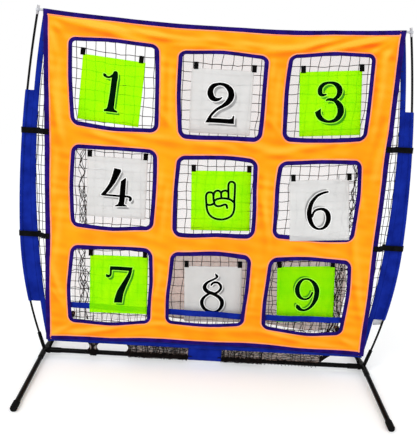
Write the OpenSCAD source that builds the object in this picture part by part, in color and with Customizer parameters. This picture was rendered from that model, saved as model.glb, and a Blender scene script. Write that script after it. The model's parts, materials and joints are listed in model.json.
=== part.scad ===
// Pitching target net: a banner with nine openings in front of a bow-frame net, with nine
// hanging number cards. Millimetres, +Z up, front towards -Y, origin on the floor at the middle.

/* [Base] */
// Distance from the middle of the base to each corner joint
base_half = 760; // [700:1:820]
// Height of the cross tube and of the corner joints above the floor
joint_h = 28; // [26:1:34]
// Outer diameter of the steel tubes
tube_d = 22; // [20:0.5:25]
// Wall of the steel tubes
tube_wall = 1.2; // [0.8:0.1:2]
// Reach of each leg in front of and behind the joint
leg_reach = 480; // [400:5:560]
// How far each foot stands in from its joint, sideways
leg_toe_in = 18; // [0:1:40]
// Length of the piece that joins the two halves of the cross tube
joiner_len = 120; // [80:5:140]

/* [Foot caps] */
// Outer diameter of the rubber foot caps
cap_d = 28; // [27:0.5:32]
// Length of a foot cap along its leg
cap_len = 46; // [36:1:60]
// Thickness of the closed end of a foot cap
cap_end = 5; // [3:0.5:8]
// Height of the cap's axis above its flat sole, at its closed end
sole_h = 12.6; // [12:0.1:13.5]

/* [Corner brackets] */
// Wall of the bracket's sockets
socket_wall = 1.6; // [1.2:0.1:3]
// Length of the tube sockets, from the joint
socket_len = 76; // [60:1:100]
// Gap all round between a tube and its socket
socket_gap = 0.2; // [0.1:0.05:0.4]
// Outer diameter of the pole socket
pole_socket_d = 16.5; // [15:0.5:20]
// Length of the pole socket, from the joint
pole_socket_len = 90; // [70:1:110]

/* [Poles] */
// Diameter of the glass-fibre poles
pole_d = 9.5; // [8:0.5:11]
// Outward lean of the pole in its socket, in degrees
pole_lean = 16.5; // [14:0.5:18]
// Height at which the bow is widest, where the lower and the middle section of a pole meet
pole_widest_z = 620; // [580:5:640]
// How much further out than the corner joints the poles' top ends stand
pole_top_out = 11; // [5:1:25]
// Height of the poles' top ends above the net's top corners
pole_over_net = 13; // [5:1:45]
// Height of the joint between the middle and the upper section of a pole
upper_joint_z = 1094; // [1000:2:1180]
// Outer diameter of the ferrules on a pole's two joints
ferrule_d = 12; // [11.6:0.1:13]
// Length of a ferrule
ferrule_len = 50; // [36:2:60]
// Outer diameter of the metal cap on the pole's top end
tip_d = 11.5; // [11:0.1:12.5]
// Length of that cap
tip_len = 36; // [25:1:50]

/* [Net] */
// Distance between neighbouring cords
net_pitch = 41; // [38:0.5:46]
// Diameter of the cords
cord_d = 1.8; // [1.2:0.1:2.4]
// How far the side bands' inner edge stands in from the corner joints, at the top and the bottom
net_inset = 35; // [25:1:45]
// How much further out the side bands stand at half height
net_bow = 66; // [50:1:70]
// Height of the net's bottom edge
net_bottom = 85; // [80:1:90]
// Height of the net's top corners
net_top = 1555; // [1545:1:1560]
// Width of the side and top bands
band_w = 24; // [18:1:30]
// Thickness of the bands
band_t = 2.4; // [1.5:0.1:4]
// Sag of the net's top edge in its middle
net_top_sag = 30; // [20:1:45]
// Rise of the hem's two upright leaves
hem_h = 28; // [20:1:34]

/* [Sleeves] */
// Height at which the side sleeves start
sleeve_z0 = 272; // [220:1:320]
// Height at which the side sleeves end
sleeve_z1 = 1226; // [1150:1:1300]
// Outer radius of the tunnel that the pole runs through
sleeve_r = 8.2; // [8:0.1:10]
// Thickness of the sleeve cloth
sleeve_t = 1; // [0.6:0.1:1.2]
// Width of the cloth that ties the net to the middle of the cross tube
centre_sleeve_w = 156; // [120:2:240]

/* [Ball pocket] */
// Height of the pocket's top edge
pocket_top = 288; // [240:1:290]
// Height of the band along that edge
pocket_band_h = 28; // [16:1:30]
// Distance of the pocket's front from the net
pocket_gap = 24; // [22:0.5:24]

/* [Banner] */
// How far the banner's side edges stand out from the side bands' inner edge, at the top
banner_over_band = 18; // [5:1:25]
// How far the banner's top corners are below the net's
banner_top_gap = 2; // [0:1:15]
// Height of the banner's bottom corners above the net's bottom edge
banner_bottom_gap = 12; // [7:1:25]
// Sag of the banner's top edge in its middle
banner_top_sag = 30; // [10:1:45]
// Rise of the banner's bottom edge in its middle
banner_bottom_rise = 15; // [5:1:25]
// Distance of the banner from the net
banner_gap = 34; // [33:0.5:40]
// Thickness of the banner cloth
banner_t = 1.2; // [0.8:0.1:2]
// Thickness of the binding tape's two leaves and its fold
binding_t = 0.8; // [0.5:0.1:1.2]
// Width of the binding along the banner's outer edge
edge_binding_w = 20; // [14:1:26]
// Width of the binding round each opening
opening_binding_w = 17; // [12:1:22]
// Clear width of each opening
opening_w = 344; // [330:1:352]
// Clear height of each opening
opening_h = 340; // [330:1:348]
// Radius of the openings' corners
opening_r = 25; // [20:1:40]
// Distance between the columns of openings
column_pitch = 450; // [440:1:452]
// Distance between the rows of openings
row_pitch = 444; // [438:1:448]
// Height of the middle row of openings
middle_row_z = 820; // [815:1:825]
// How far the middle opening hangs below its row: top, middle and bottom row
row_sag = [15, 5, -9];

/* [Straps] */
// Width of the side straps
strap_w = 25; // [20:1:30]
// Thickness of the side straps
strap_t = 1.6; // [1:0.1:2.4]
// How far each strap laps over the banner's edge
strap_lap = 20; // [14:1:26]
// Width of the straps at the bottom corners
corner_strap_w = 13; // [10:1:18]

/* [Cards] */
// How much narrower than its opening a card is
card_play_w = 80; // [80:1:110]
// How much shorter than its opening a card is
card_play_h = 70; // [70:1:110]
// Thickness of the card cloth
card_t = 0.8; // [0.5:0.1:1.2]
// Distance from the cord that carries a card down to the card's top edge
card_drop = 22; // [18:1:26]
// Width of the hook-and-loop tabs
tab_w = 20; // [14:1:21]
// Distance from a tab's middle to the card's side edge
tab_inset = 10; // [8:1:30]
// Play between a tab's loop and its cord
tab_play = 1.1; // [0.9:0.1:1.4]

/* [Hidden] */

LEFT = -1;
RIGHT = 1;
FRONT = -1;
REAR = 1;
FINE = 96;
CORD_FN = 16;
ARC_FN = 1440;
EPS = 0.01;
FAR = 4000;

STEEL_BLACK = [0.07, 0.07, 0.08];
RUBBER_BLACK = [0.04, 0.04, 0.04];
FIBRE_BLACK = [0.10, 0.10, 0.11];
METAL_GREY = [0.72, 0.72, 0.74];
ELASTIC_GREY = [0.80, 0.82, 0.86];
CORD_BROWN = [0.22, 0.16, 0.15];
ROYAL_BLUE = [0.08, 0.14, 0.55];
NAVY_BLUE = [0.13, 0.08, 0.40];
ORANGE = [1.0, 0.62, 0.05];
STRAP_BLACK = [0.03, 0.03, 0.03];
LIME = [0.63, 0.98, 0.0];
OFF_WHITE = [0.90, 0.90, 0.89];

tube_r = tube_d / 2;
cord_r = cord_d / 2;
// Half width of the net inside its side bands, at the top and at the bottom
net_half = base_half - net_inset;
pole_top_x = base_half + pole_top_out;
pole_top_z = net_top + pole_over_net;
banner_w = 2 * (net_half + banner_over_band);
banner_z0 = net_bottom + banner_bottom_gap;
// Height of the banner at its sides
banner_h = net_top - banner_top_gap - banner_z0;
socket_r = tube_r + socket_gap + socket_wall;

// ---- helpers ------------------------------------------------------------------------------

// Draws its children once for x > 0, or their mirror image for x < 0
module on_side(side) {
    if (side == RIGHT) children();
    else mirror([1, 0, 0]) children();
}

// Turns children that stand along +Z so that they run along the direction d
module along(d) {
    rotate([0, acos(d[2] / norm(d)), atan2(d[1], d[0])]) children();
}

module ring(outer_r, inner_r) {
    difference() {
        circle(r = outer_r, $fn = FINE);
        circle(r = inner_r, $fn = FINE);
    }
}

// A round-cornered rectangle about the origin
module round_rect(w, h, r) {
    square([w - 2 * r, h], center = true);
    square([w, h - 2 * r], center = true);
    for (x = [-1, 1], y = [-1, 1]) {
        translate([x * (w / 2 - r), y * (h / 2 - r)]) circle(r = r, $fn = FINE);
    }
}

// A slot with round ends whose middles are at x0 and x1
module slot_shape(x0, x1, r) {
    translate([x0, -r]) square([x1 - x0, 2 * r]);
    for (x = [x0, x1]) translate([x, 0]) circle(r = r, $fn = FINE);
}

// Extrudes a drawing of the XZ plane through y0 to y1
module upright(y0, y1) {
    translate([0, y1, 0]) rotate([90, 0, 0]) linear_extrude(y1 - y0) children();
}

// Sweeps a section along an arc in the XZ plane. The section's x is measured outwards from the
// arc's line and its y towards the front.
module sweep_arc(centre, radius, from_angle, to_angle) {
    translate([centre[0], 0, centre[1]])
        rotate([90, 0, 0])
        rotate([0, 0, from_angle])
        rotate_extrude(angle = to_angle - from_angle, $fn = ARC_FN)
        translate([radius, 0])
        children();
}

// Radius of an arc from its half chord and its sagitta
function arc_radius(half_chord, sagitta) = (half_chord * half_chord + sagitta * sagitta) / (2 * sagitta);

// ---- base ---------------------------------------------------------------------------------

joint = [base_half, 0, joint_h];

// From the joint towards the foot, in front (FRONT) or behind (REAR)
function leg_line(way) = [-leg_toe_in, way * leg_reach, sole_h - joint_h];
leg_len = norm(leg_line(FRONT));
tube_start = tube_r + 3;

module steel_tube(from, to) {
    difference() {
        translate([0, 0, from]) cylinder(r = tube_r, h = to - from, $fn = FINE);
        translate([0, 0, from - 1]) cylinder(r = tube_r - tube_wall, h = to - from + 2, $fn = FINE);
    }
}

module cross_tube(side) {
    color(STEEL_BLACK) on_side(side)
        translate([0, 0, joint_h]) rotate([0, 90, 0]) steel_tube(0, base_half - tube_start);
}

module cross_tube_joiner() {
    joiner_r = tube_r - tube_wall - socket_gap;
    color(STEEL_BLACK) translate([-joiner_len / 2, 0, joint_h]) rotate([0, 90, 0])
        difference() {
            cylinder(r = joiner_r, h = joiner_len, $fn = FINE);
            translate([0, 0, -1]) cylinder(r = joiner_r - tube_wall, h = joiner_len + 2, $fn = FINE);
        }
}

module leg(side, way) {
    color(STEEL_BLACK) on_side(side) translate(joint) along(leg_line(way))
        steel_tube(tube_start, leg_len - cap_end);
}

// A cup over the leg's end: round-edged outside, cut flat underneath where it stands
module foot_cap(side, way) {
    edge_r = 4;
    cup_r = tube_r + EPS;
    color(RUBBER_BLACK) on_side(side) difference() {
        translate(joint) along(leg_line(way)) translate([0, 0, leg_len - cap_len])
            rotate_extrude($fn = FINE) difference() {
                union() {
                    square([cap_d / 2, cap_len - edge_r]);
                    square([cap_d / 2 - edge_r, cap_len]);
                    translate([cap_d / 2 - edge_r, cap_len - edge_r]) circle(r = edge_r, $fn = FINE);
                }
                translate([-FAR, 0]) square([FAR, cap_len]);
                translate([0, -1]) square([cup_r, cap_len - cap_end + 1]);
            }
        translate([-FAR / 2, -FAR / 2, -FAR]) cube(FAR);
    }
}

// ---- poles --------------------------------------------------------------------------------

pole_r = pole_d / 2;
pole_line = [sin(pole_lean), 0, cos(pole_lean)];
pole_mouth = joint + pole_socket_len * pole_line;
lower_bow_r = (pole_widest_z - pole_mouth[2]) / sin(pole_lean);
pole_widest_x = pole_mouth[0] + lower_bow_r * (1 - cos(pole_lean));
upper_rise = pole_top_z - pole_widest_z;
upper_bow_r = arc_radius(upper_rise, pole_widest_x - pole_top_x);

// Distance of the pole's centre line from the middle, at height z above its socket
function pole_x(z) = let (r = z < pole_widest_z ? lower_bow_r : upper_bow_r, dz = z - pole_widest_z)
    pole_widest_x - r + sqrt(r * r - dz * dz);

// Sweeps a section along the bow of the right side, from height z0 to height z1, which both lie
// below or both lie above its widest point
module along_bow(z0, z1) {
    r = z1 > pole_widest_z ? upper_bow_r : lower_bow_r;
    sweep_arc([pole_widest_x - r, pole_widest_z], r,
        asin((z0 - pole_widest_z) / r), asin((z1 - pole_widest_z) / r))
        children();
}

pole_seat = 22;
// The pole's straight end in the socket is this much slimmer
spigot_step = 0.1;

module pole_lower(side) {
    color(FIBRE_BLACK) on_side(side) {
        translate(joint + pole_seat * pole_line) along(pole_line)
            cylinder(r = pole_r - spigot_step, h = pole_socket_len - pole_seat + 2, $fn = FINE);
        along_bow(pole_mouth[2], pole_widest_z) circle(r = pole_r, $fn = FINE);
    }
}

module pole_middle(side) {
    color(FIBRE_BLACK) on_side(side)
        along_bow(pole_widest_z, upper_joint_z) circle(r = pole_r, $fn = FINE);
}

module pole_upper(side) {
    color(FIBRE_BLACK) on_side(side)
        along_bow(upper_joint_z, pole_top_z - tip_wall) circle(r = pole_r, $fn = FINE);
}

// Play between a straight ferrule and the bowed pole inside it
ferrule_gap = 0.4;

module pole_ferrules(side) {
    color(METAL_GREY) on_side(side) for (z = [pole_widest_z, upper_joint_z]) {
        translate([pole_x(z), 0, z]) rotate([0, -asin((z - pole_widest_z) / upper_bow_r), 0])
            linear_extrude(ferrule_len, center = true) ring(ferrule_d / 2, pole_r + ferrule_gap);
    }
}

tip_wall = 2;

module pole_tip(side) {
    color(METAL_GREY) on_side(side) difference() {
        along_bow(pole_top_z - tip_len, pole_top_z) circle(r = tip_d / 2, $fn = FINE);
        along_bow(pole_top_z - tip_len - 1, pole_top_z - tip_wall) circle(r = pole_r + EPS, $fn = FINE);
    }
}

// A welded corner: two leg sockets, one socket for the cross tube and one for the pole
module corner_bracket(side) {
    lines = [leg_line(FRONT), leg_line(REAR), [-1, 0, 0]];
    color(STEEL_BLACK) on_side(side) translate(joint) difference() {
        union() {
            for (d = lines) along(d) cylinder(r = socket_r, h = socket_len, $fn = FINE);
            sphere(r = socket_r, $fn = FINE);
            along(pole_line) cylinder(r = pole_socket_d / 2, h = pole_socket_len, $fn = FINE);
        }
        for (d = lines) {
            along(d) translate([0, 0, tube_start - 1])
                cylinder(r = tube_r + socket_gap, h = socket_len, $fn = FINE);
        }
        along(pole_line) translate([0, 0, pole_seat - 1])
            cylinder(r = pole_r + socket_gap, h = pole_socket_len, $fn = FINE);
    }
}

// ---- net ----------------------------------------------------------------------------------

net_mid_z = (net_top + net_bottom) / 2;
net_rise = (net_top - net_bottom) / 2;
net_edge_r = arc_radius(net_rise, net_bow);
net_edge_angle = asin(net_rise / net_edge_r);

// Distance of the side bands' inner edge from the middle, at height z
function net_edge_x(z) = net_half + net_bow - net_edge_r + sqrt(pow(net_edge_r, 2) - pow(z - net_mid_z, 2));

// How far the cords' ends run into the bands and the hem
sewn_in = 4;

// The rows of cords: heights at the side bands, sag in the middle and slope across the net
row_margin = 4;
row_z0 = net_bottom + hem_h + row_margin;
row_count = floor((net_top - band_w - row_z0) / net_pitch) + 1;
row_zs = [for (i = [0:row_count - 1]) row_z0 + i * net_pitch];
row_sags = [[100, 5], [550, 20], [1000, 31], [1430, 52], [1555, 40]];
row_slopes = [[100, 0], [500, 2.6], [1000, 2.1], [1430, 0]];

// Height of the cord of row i at x
function row_half(z) = net_edge_x(z) + sewn_in;
function row_z(i, x) = let (z = row_zs[i], sag = lookup(z, row_sags), half = row_half(z))
    z - sag * (1 - x * x / (half * half)) + x * tan(lookup(z, row_slopes));

row_y = -cord_r - 0.1;
column_y = cord_r + 0.1;
column_count = floor(net_edge_x(net_mid_z) / net_pitch);
module row_cord(i) {
    z = row_zs[i];
    sag = lookup(z, row_sags);
    half = row_half(z);
    r = arc_radius(half, sag);
    translate([0, row_y, z]) rotate([0, -lookup(z, row_slopes), 0])
        sweep_arc([0, r - sag], r, -90 - asin(half / r), -90 + asin(half / r))
        circle(r = cord_r, $fn = CORD_FN);
}

// Height of the net's top edge, under its band, at x
function net_top_z(x) = net_top - band_w - net_top_sag * (1 - x * x / (net_half * net_half));

module column_cord(i) {
    x = i * net_pitch;
    beyond = max(0, abs(x) - net_half);
    reach = beyond > 0 ? sqrt(pow(net_edge_r, 2) - pow(net_edge_r - net_bow + beyond, 2)) : 0;
    z0 = beyond > 0 ? net_mid_z - reach - sewn_in : net_bottom + band_t / 2;
    z1 = beyond > 0 ? net_mid_z + reach + sewn_in : net_top_z(x) + sewn_in;
    translate([x, column_y, z0]) cylinder(r = cord_r, h = z1 - z0, $fn = CORD_FN);
}

module main_net() {
    color(CORD_BROWN) {
        for (i = [0:row_count - 1]) row_cord(i);
        for (i = [-column_count:column_count]) column_cord(i);
    }
}

module side_band_shape() {
    sweep_arc([net_half + net_bow - net_edge_r, net_mid_z], net_edge_r, -net_edge_angle, net_edge_angle)
        translate([0, -band_t / 2]) square([band_w, band_t]);
}

module net_side_band(side) {
    color(ROYAL_BLUE) on_side(side) side_band_shape();
}

module net_top_band() {
    top_r = arc_radius(net_half, net_top_sag);
    color(ROYAL_BLUE) difference() {
        upright(-band_t / 2, band_t / 2) difference() {
            translate([-net_half - band_w, net_top - band_w - net_top_sag])
                square([2 * (net_half + band_w), band_w + net_top_sag]);
            translate([0, net_top - net_top_sag + top_r]) circle(r = top_r, $fn = ARC_FN);
            difference() {
                translate([-FAR / 2, net_top - band_w - FAR]) square([FAR, FAR]);
                translate([0, net_top - band_w - net_top_sag + top_r]) circle(r = top_r, $fn = ARC_FN);
            }
        }
        for (side = [LEFT, RIGHT]) on_side(side) {
            sweep_arc([net_half + net_bow - net_edge_r, net_mid_z], net_edge_r,
                -net_edge_angle, net_edge_angle + 1)
                translate([0, -band_t]) square([4 * band_w, 2 * band_t]);
        }
    }
}

pocket_y = -pocket_gap;
hem_y0 = pocket_y - band_t / 2;
hem_y1 = band_t / 2;

// A channel that joins the bottom edges of the net and of the pocket's front
module net_bottom_hem() {
    color(ROYAL_BLUE) translate([-net_half, 0, 0]) rotate([90, 0, 90]) linear_extrude(2 * net_half) {
        translate([hem_y0, net_bottom]) square([hem_y1 - hem_y0, band_t]);
        translate([hem_y0, net_bottom]) square([band_t, hem_h]);
        translate([hem_y1 - band_t, net_bottom]) square([band_t, hem_h]);
    }
}

wrap_gap = 0.5;

// Cloth of thickness t from the hem down to the cross tube and round it, from x0 to x1
module tube_wrap(x0, x1, t) {
    inner_r = tube_r + wrap_gap;
    translate([x0, 0, joint_h]) rotate([90, 0, 90]) linear_extrude(x1 - x0) {
        ring(inner_r + t, inner_r);
        translate([-inner_r - t, 0]) square([t, net_bottom - joint_h]);
    }
}

module centre_sleeve() {
    color(ROYAL_BLUE) tube_wrap(-centre_sleeve_w / 2, centre_sleeve_w / 2, sleeve_t);
}

// Stretches of the cross tube, left to right, where the net's lower edge is wrapped round it
skirt_spans = [[-545, -512], [-362, -centre_sleeve_w / 2 - 1], [centre_sleeve_w / 2 + 1, 545]];

module net_skirt() {
    color(CORD_BROWN) for (span = skirt_spans) tube_wrap(span[0], span[1], cord_d);
}

// ---- sleeves and straps ---------------------------------------------------------------------

// A tunnel round the pole and a flat web to the net's side band, cut off level at both ends. It is
// made of two lengths, which meet where the bow is widest.
module side_sleeve(side) {
    web = pole_widest_x;
    spare = 2 * sleeve_r;
    lengths = [[sleeve_z0 - spare, pole_widest_z - EPS], [pole_widest_z + EPS, sleeve_z1 + spare]];
    color(ROYAL_BLUE) on_side(side) for (part = lengths) difference() {
        along_bow(part[0], part[1]) difference() {
            union() {
                circle(r = sleeve_r, $fn = FINE);
                translate([-web, -sleeve_t]) square([web, 2 * sleeve_t]);
            }
            circle(r = sleeve_r - sleeve_t, $fn = FINE);
        }
        sweep_arc([net_half + net_bow - net_edge_r, net_mid_z], net_edge_r, -net_edge_angle, net_edge_angle)
            translate([-FAR / 2, -spare]) square([FAR / 2 + band_w, 2 * spare]);
        translate([-FAR / 2, -FAR / 2, sleeve_z0 - FAR]) cube(FAR);
        translate([-FAR / 2, -FAR / 2, sleeve_z1]) cube(FAR);
    }
}

banner_y = -banner_gap;
banner_front = banner_y - banner_t / 2 - binding_t;
banner_back = banner_y + banner_t / 2 + binding_t;

// Heights near which the straps pass through the net, between two rows of cords
strap_heights = [602, 1058];
strap_clear = 1.6;
strap_inset = 12;

// Height half way between the two rows of cords that run below and above (x, z)
function cell_z(x, z) = let (
    above = [for (i = [1:row_count - 1]) if (row_z(i - 1, x) < z && row_z(i, x) >= z) i][0])
    (row_z(above - 1, x) + row_z(above, x)) / 2;

module side_strap(z) {
    inner_r = sleeve_r + strap_clear;
    x0 = net_edge_x(z) - strap_inset + inner_r;
    x1 = pole_x(z);
    tongue_x = x0 - 4;
    lap_x = banner_w / 2 + 4;
    end_x = banner_w / 2 - strap_lap;
    translate([0, 0, z - strap_w / 2]) linear_extrude(strap_w) {
        difference() {
            slot_shape(x0, x1, inner_r + strap_t);
            slot_shape(x0, x1, inner_r);
        }
        polygon([[x0 + 8, -inner_r - EPS], [x0 + 8, -inner_r - strap_t], [tongue_x, -inner_r - strap_t],
            [lap_x, banner_front - strap_t], [end_x, banner_front - strap_t], [end_x, banner_front],
            [lap_x, banner_front], [tongue_x, -inner_r - EPS]]);
    }
}

module side_straps() {
    color(STRAP_BLACK) for (side = [LEFT, RIGHT], z = strap_heights) {
        on_side(side) side_strap(cell_z(side * (net_edge_x(z) - strap_inset), z));
    }
}

// A strap round the cross tube's socket and up to the back of the hem, seen from its side
module corner_strap_side(top) {
    loop_play = 0.6;
    inner_r = socket_r + loop_play;
    thin = strap_t - 2 * EPS;
    back = band_t / 2;
    // Where the strap leaves the loop, and where it reaches the hem
    climb = atan2(net_bottom - joint_h, back) - acos(inner_r / norm([back, net_bottom - joint_h]));
    out = [cos(climb), sin(climb)];
    ahead = [-sin(climb), cos(climb)];
    low = (inner_r + EPS) * out - strap_t * ahead;
    high = [back, net_bottom - joint_h] + EPS * out;
    difference() {
        union() {
            circle(r = inner_r + strap_t, $fn = FINE);
            polygon([low, low + thin * out, high + thin * out, [back + strap_t, top - joint_h],
                [back, top - joint_h], high]);
        }
        circle(r = inner_r, $fn = FINE);
    }
}

// Webbing that holds the net's bottom corners down to the cross tube
module corner_straps() {
    bracket_gap = 1.6;
    bend_z = joint_h + 8;
    sewn_len = 14;
    top = net_bottom + sewn_len;
    x1 = base_half - socket_r - bracket_gap;
    x0 = x1 - corner_strap_w;
    // Half way between two columns of cords
    sewn_x = (floor(net_half / net_pitch) + 0.5) * net_pitch;
    s0 = sewn_x - corner_strap_w / 2;
    s1 = sewn_x + corner_strap_w / 2;
    color(STRAP_BLACK) for (side = [LEFT, RIGHT]) on_side(side) intersection() {
        translate([s0, 0, joint_h]) rotate([90, 0, 90]) linear_extrude(x1 - s0) corner_strap_side(top);
        upright(-FAR / 2, FAR / 2) polygon([[x0, 0], [x1, 0], [x1, bend_z], [s1, net_bottom], [s1, top],
            [s0, top], [s0, net_bottom], [x0, bend_z]]);
    }
}

// An elastic loop that holds the net's top corner to the pole's tip
module corner_loop(side) {
    loop_h = 10;
    loop_play = 1.5;
    z = pole_top_z - tip_len / 2;
    inner_r = tip_d / 2 + loop_play;
    outer_r = inner_r + strap_t;
    x = pole_x(z);
    end_x = net_edge_x(net_top) + 4;
    front = -band_t / 2;
    color(ELASTIC_GREY) on_side(side) translate([0, 0, z - loop_h / 2]) linear_extrude(loop_h) {
        difference() {
            union() {
                translate([x, 0]) circle(r = outer_r, $fn = FINE);
                polygon([[x, -outer_r], [x - 2, -outer_r], [x - outer_r - 6, front - strap_t],
                    [end_x, front - strap_t], [end_x, front], [x - outer_r, front], [x, front]]);
            }
            translate([x, 0]) circle(r = inner_r, $fn = FINE);
        }
    }
}

// ---- ball pocket ----------------------------------------------------------------------------

pocket_end_w = 14;
pocket_half = net_half + pocket_end_w;
pocket_band_z0 = pocket_top - pocket_band_h;

module pocket_net() {
    rows = [for (z = row_zs) if (z < pocket_band_z0 - 8) z];
    columns = floor((net_half - 8) / net_pitch - 0.5);
    color(CORD_BROWN) translate([0, pocket_y, 0]) {
        for (z = rows) {
            translate([-net_half - sewn_in, row_y, z]) rotate([0, 90, 0])
                cylinder(r = cord_r, h = 2 * (net_half + sewn_in), $fn = CORD_FN);
        }
        for (i = [-columns - 1:columns]) {
            translate([(i + 0.5) * net_pitch, column_y, net_bottom + hem_h - sewn_in])
                cylinder(r = cord_r, h = pocket_band_z0 - net_bottom - hem_h + 2 * sewn_in, $fn = CORD_FN);
        }
    }
}

// The band along the pocket's mouth, with an end strip on each side down to the hem
module pocket_band() {
    depth = pocket_gap - band_t;
    color(ROYAL_BLUE) {
        translate([-pocket_half, hem_y0, pocket_band_z0]) cube([2 * pocket_half, band_t, pocket_band_h]);
        for (side = [LEFT, RIGHT]) on_side(side) {
            translate([net_half, hem_y0, net_bottom]) cube([pocket_end_w, band_t, pocket_top - net_bottom]);
            translate([pocket_half - band_t, hem_y0, net_bottom])
                cube([band_t, depth, pocket_top - net_bottom]);
        }
    }
}

// ---- banner ---------------------------------------------------------------------------------

COLUMNS = [-1, 0, 1];
ROWS = [0, 1, 2];

function opening_at(row, column) = [column * column_pitch,
    middle_row_z + (1 - row) * row_pitch - (column == 0 ? row_sag[row] : 0)];

// The banner's outline, moved in by inset, with its sagging top and its rising bottom edge
module banner_outline(inset) {
    half = banner_w / 2 - inset;
    z0 = banner_z0 + inset;
    z1 = banner_z0 + banner_h - inset;
    top_r = arc_radius(banner_w / 2, banner_top_sag);
    bottom_r = arc_radius(banner_w / 2, banner_bottom_rise);
    difference() {
        translate([-half, z0]) square([2 * half, z1 - z0]);
        translate([0, z1 - banner_top_sag + top_r]) circle(r = top_r, $fn = ARC_FN);
        translate([0, z0 + banner_bottom_rise - bottom_r]) circle(r = bottom_r, $fn = ARC_FN);
    }
}

module openings(grow) {
    for (row = ROWS, column = COLUMNS) {
        translate(opening_at(row, column))
            round_rect(opening_w + 2 * grow, opening_h + 2 * grow, opening_r + grow);
    }
}

module target_banner() {
    color(ORANGE) upright(banner_y - banner_t / 2, banner_y + banner_t / 2) difference() {
        banner_outline(binding_t);
        openings(binding_t);
    }
}

// Tape folded over the banner's outer edge
module banner_edge_binding() {
    color(NAVY_BLUE) difference() {
        upright(banner_front, banner_back) difference() {
            banner_outline(0);
            banner_outline(edge_binding_w);
        }
        upright(banner_y - banner_t / 2, banner_y + banner_t / 2) banner_outline(binding_t);
    }
}

// Tape folded over the edge of each opening
module opening_bindings() {
    color(NAVY_BLUE) difference() {
        upright(banner_front, banner_back) difference() {
            openings(opening_binding_w);
            openings(0);
        }
        upright(banner_y - banner_t / 2, banner_y + banner_t / 2) difference() {
            openings(opening_binding_w + 1);
            openings(binding_t);
        }
    }
}

// Short webbing tabs that hold the banner's four corners to the net's side bands
module banner_ties() {
    tie_w = 20;
    inset = 36;
    edge_gap = 1;
    color(NAVY_BLUE) for (side = [LEFT, RIGHT], z = [banner_z0 + inset, banner_z0 + banner_h - inset]) {
        x = min(net_edge_x(z) + band_w, banner_w / 2) - strap_t - edge_gap;
        on_side(side) translate([x, banner_back, z - tie_w / 2])
            cube([strap_t, -band_t / 2 - banner_back, tie_w]);
    }
}

// ---- cards ----------------------------------------------------------------------------------

card_w = opening_w - card_play_w;
card_h = opening_h - card_play_h;

// Sideways place of each card from its opening's middle, row by row
card_shifts = [[-3, 3, 6], [18, 23, 4], [34, 13, -14]];
// Height of the cord that carries each card above its opening's middle, row by row
card_heights = [[134, 124, 136], [156, 137, 113], [158, 132, 154]];
// Forward lean of each card, in degrees, for those that lie on the pocket or on the banner
card_leans = [[0, 0, 0], [0, 0, 7], [5.2, 0, 0]];

function card_row(n) = floor((n - 1) / 3);
function card_column(n) = (n - 1) % 3 - 1;
function card_x(n) = opening_at(card_row(n), card_column(n))[0] + card_shifts[card_row(n)][card_column(n) + 1];
function card_wish_z(n) = opening_at(card_row(n), card_column(n))[1]
    + card_heights[card_row(n)][card_column(n) + 1];
// The row of cords that carries card n: the one nearest to where the card should hang
function cord_gaps(n) = [for (i = [0:row_count - 1]) abs(row_z(i, card_x(n)) - card_wish_z(n))];
// Half the distance between a card's two tabs
tab_half = card_w / 2 - tab_inset;
function carrier(n) = search(min(cord_gaps(n)), cord_gaps(n))[0];
function card_lean(n) = card_leans[card_row(n)][card_column(n) + 1];

tab_wall = 1.4;
tab_bore_r = cord_r + tab_play;
tab_r = tab_bore_r + tab_wall;
tab_leaf = 0.8;
// Gap between a card's tabs and the cord behind them
tab_cord_gap = 0.6;
// Gap between a tab and the next column of cords
tab_column_gap = 1.3;
card_y = -cord_r - tab_cord_gap - tab_leaf - card_t / 2;
tab_lap = 5;

// Puts its children where card n hangs: their x axis is the line through the cord at its two tabs
module hung_at(n) {
    x = card_x(n);
    i = carrier(n);
    low = row_z(i, x - tab_half);
    high = row_z(i, x + tab_half);
    translate([x, row_y, (low + high) / 2])
        rotate([0, -atan((high - low) / (2 * tab_half)), 0])
        rotate([-card_lean(n), 0, 0])
        children();
}

// Nearest place to x, along the cord of card n, where a tab stands clear of the columns of cords
function clear_of_columns(n, x) = let (
    play = net_pitch / 2 - tab_w / 2 - cord_r - tab_column_gap,
    cell = (floor((card_x(n) + x) / net_pitch) + 0.5) * net_pitch - card_x(n))
    cell + max(-play, min(play, x - cell));

module card(n) {
    color(n % 2 == 1 ? LIME : OFF_WHITE) hung_at(n)
        translate([-card_w / 2, card_y - card_t / 2, -card_drop - card_h]) cube([card_w, card_t, card_h]);
}

// Two strips, each folded round the cord, that grip the card's top edge between their leaves
module card_tabs(n) {
    low = card_drop + tab_lap;
    color(STRAP_BLACK) hung_at(n) for (end = [-1, 1]) {
        x = clear_of_columns(n, end * tab_half);
        translate([x - tab_w / 2, 0, 0]) rotate([90, 0, 90]) linear_extrude(tab_w) difference() {
            union() {
                circle(r = tab_r, $fn = FINE);
                translate([card_y - card_t / 2 - tab_leaf, -low]) square([card_t + 2 * tab_leaf, low]);
            }
            circle(r = tab_bore_r, $fn = FINE);
            translate([card_y - card_t / 2, -low - 1]) square([card_t, tab_lap + 1]);
        }
    }
}

// ---- the parts ------------------------------------------------------------------------------

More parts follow.
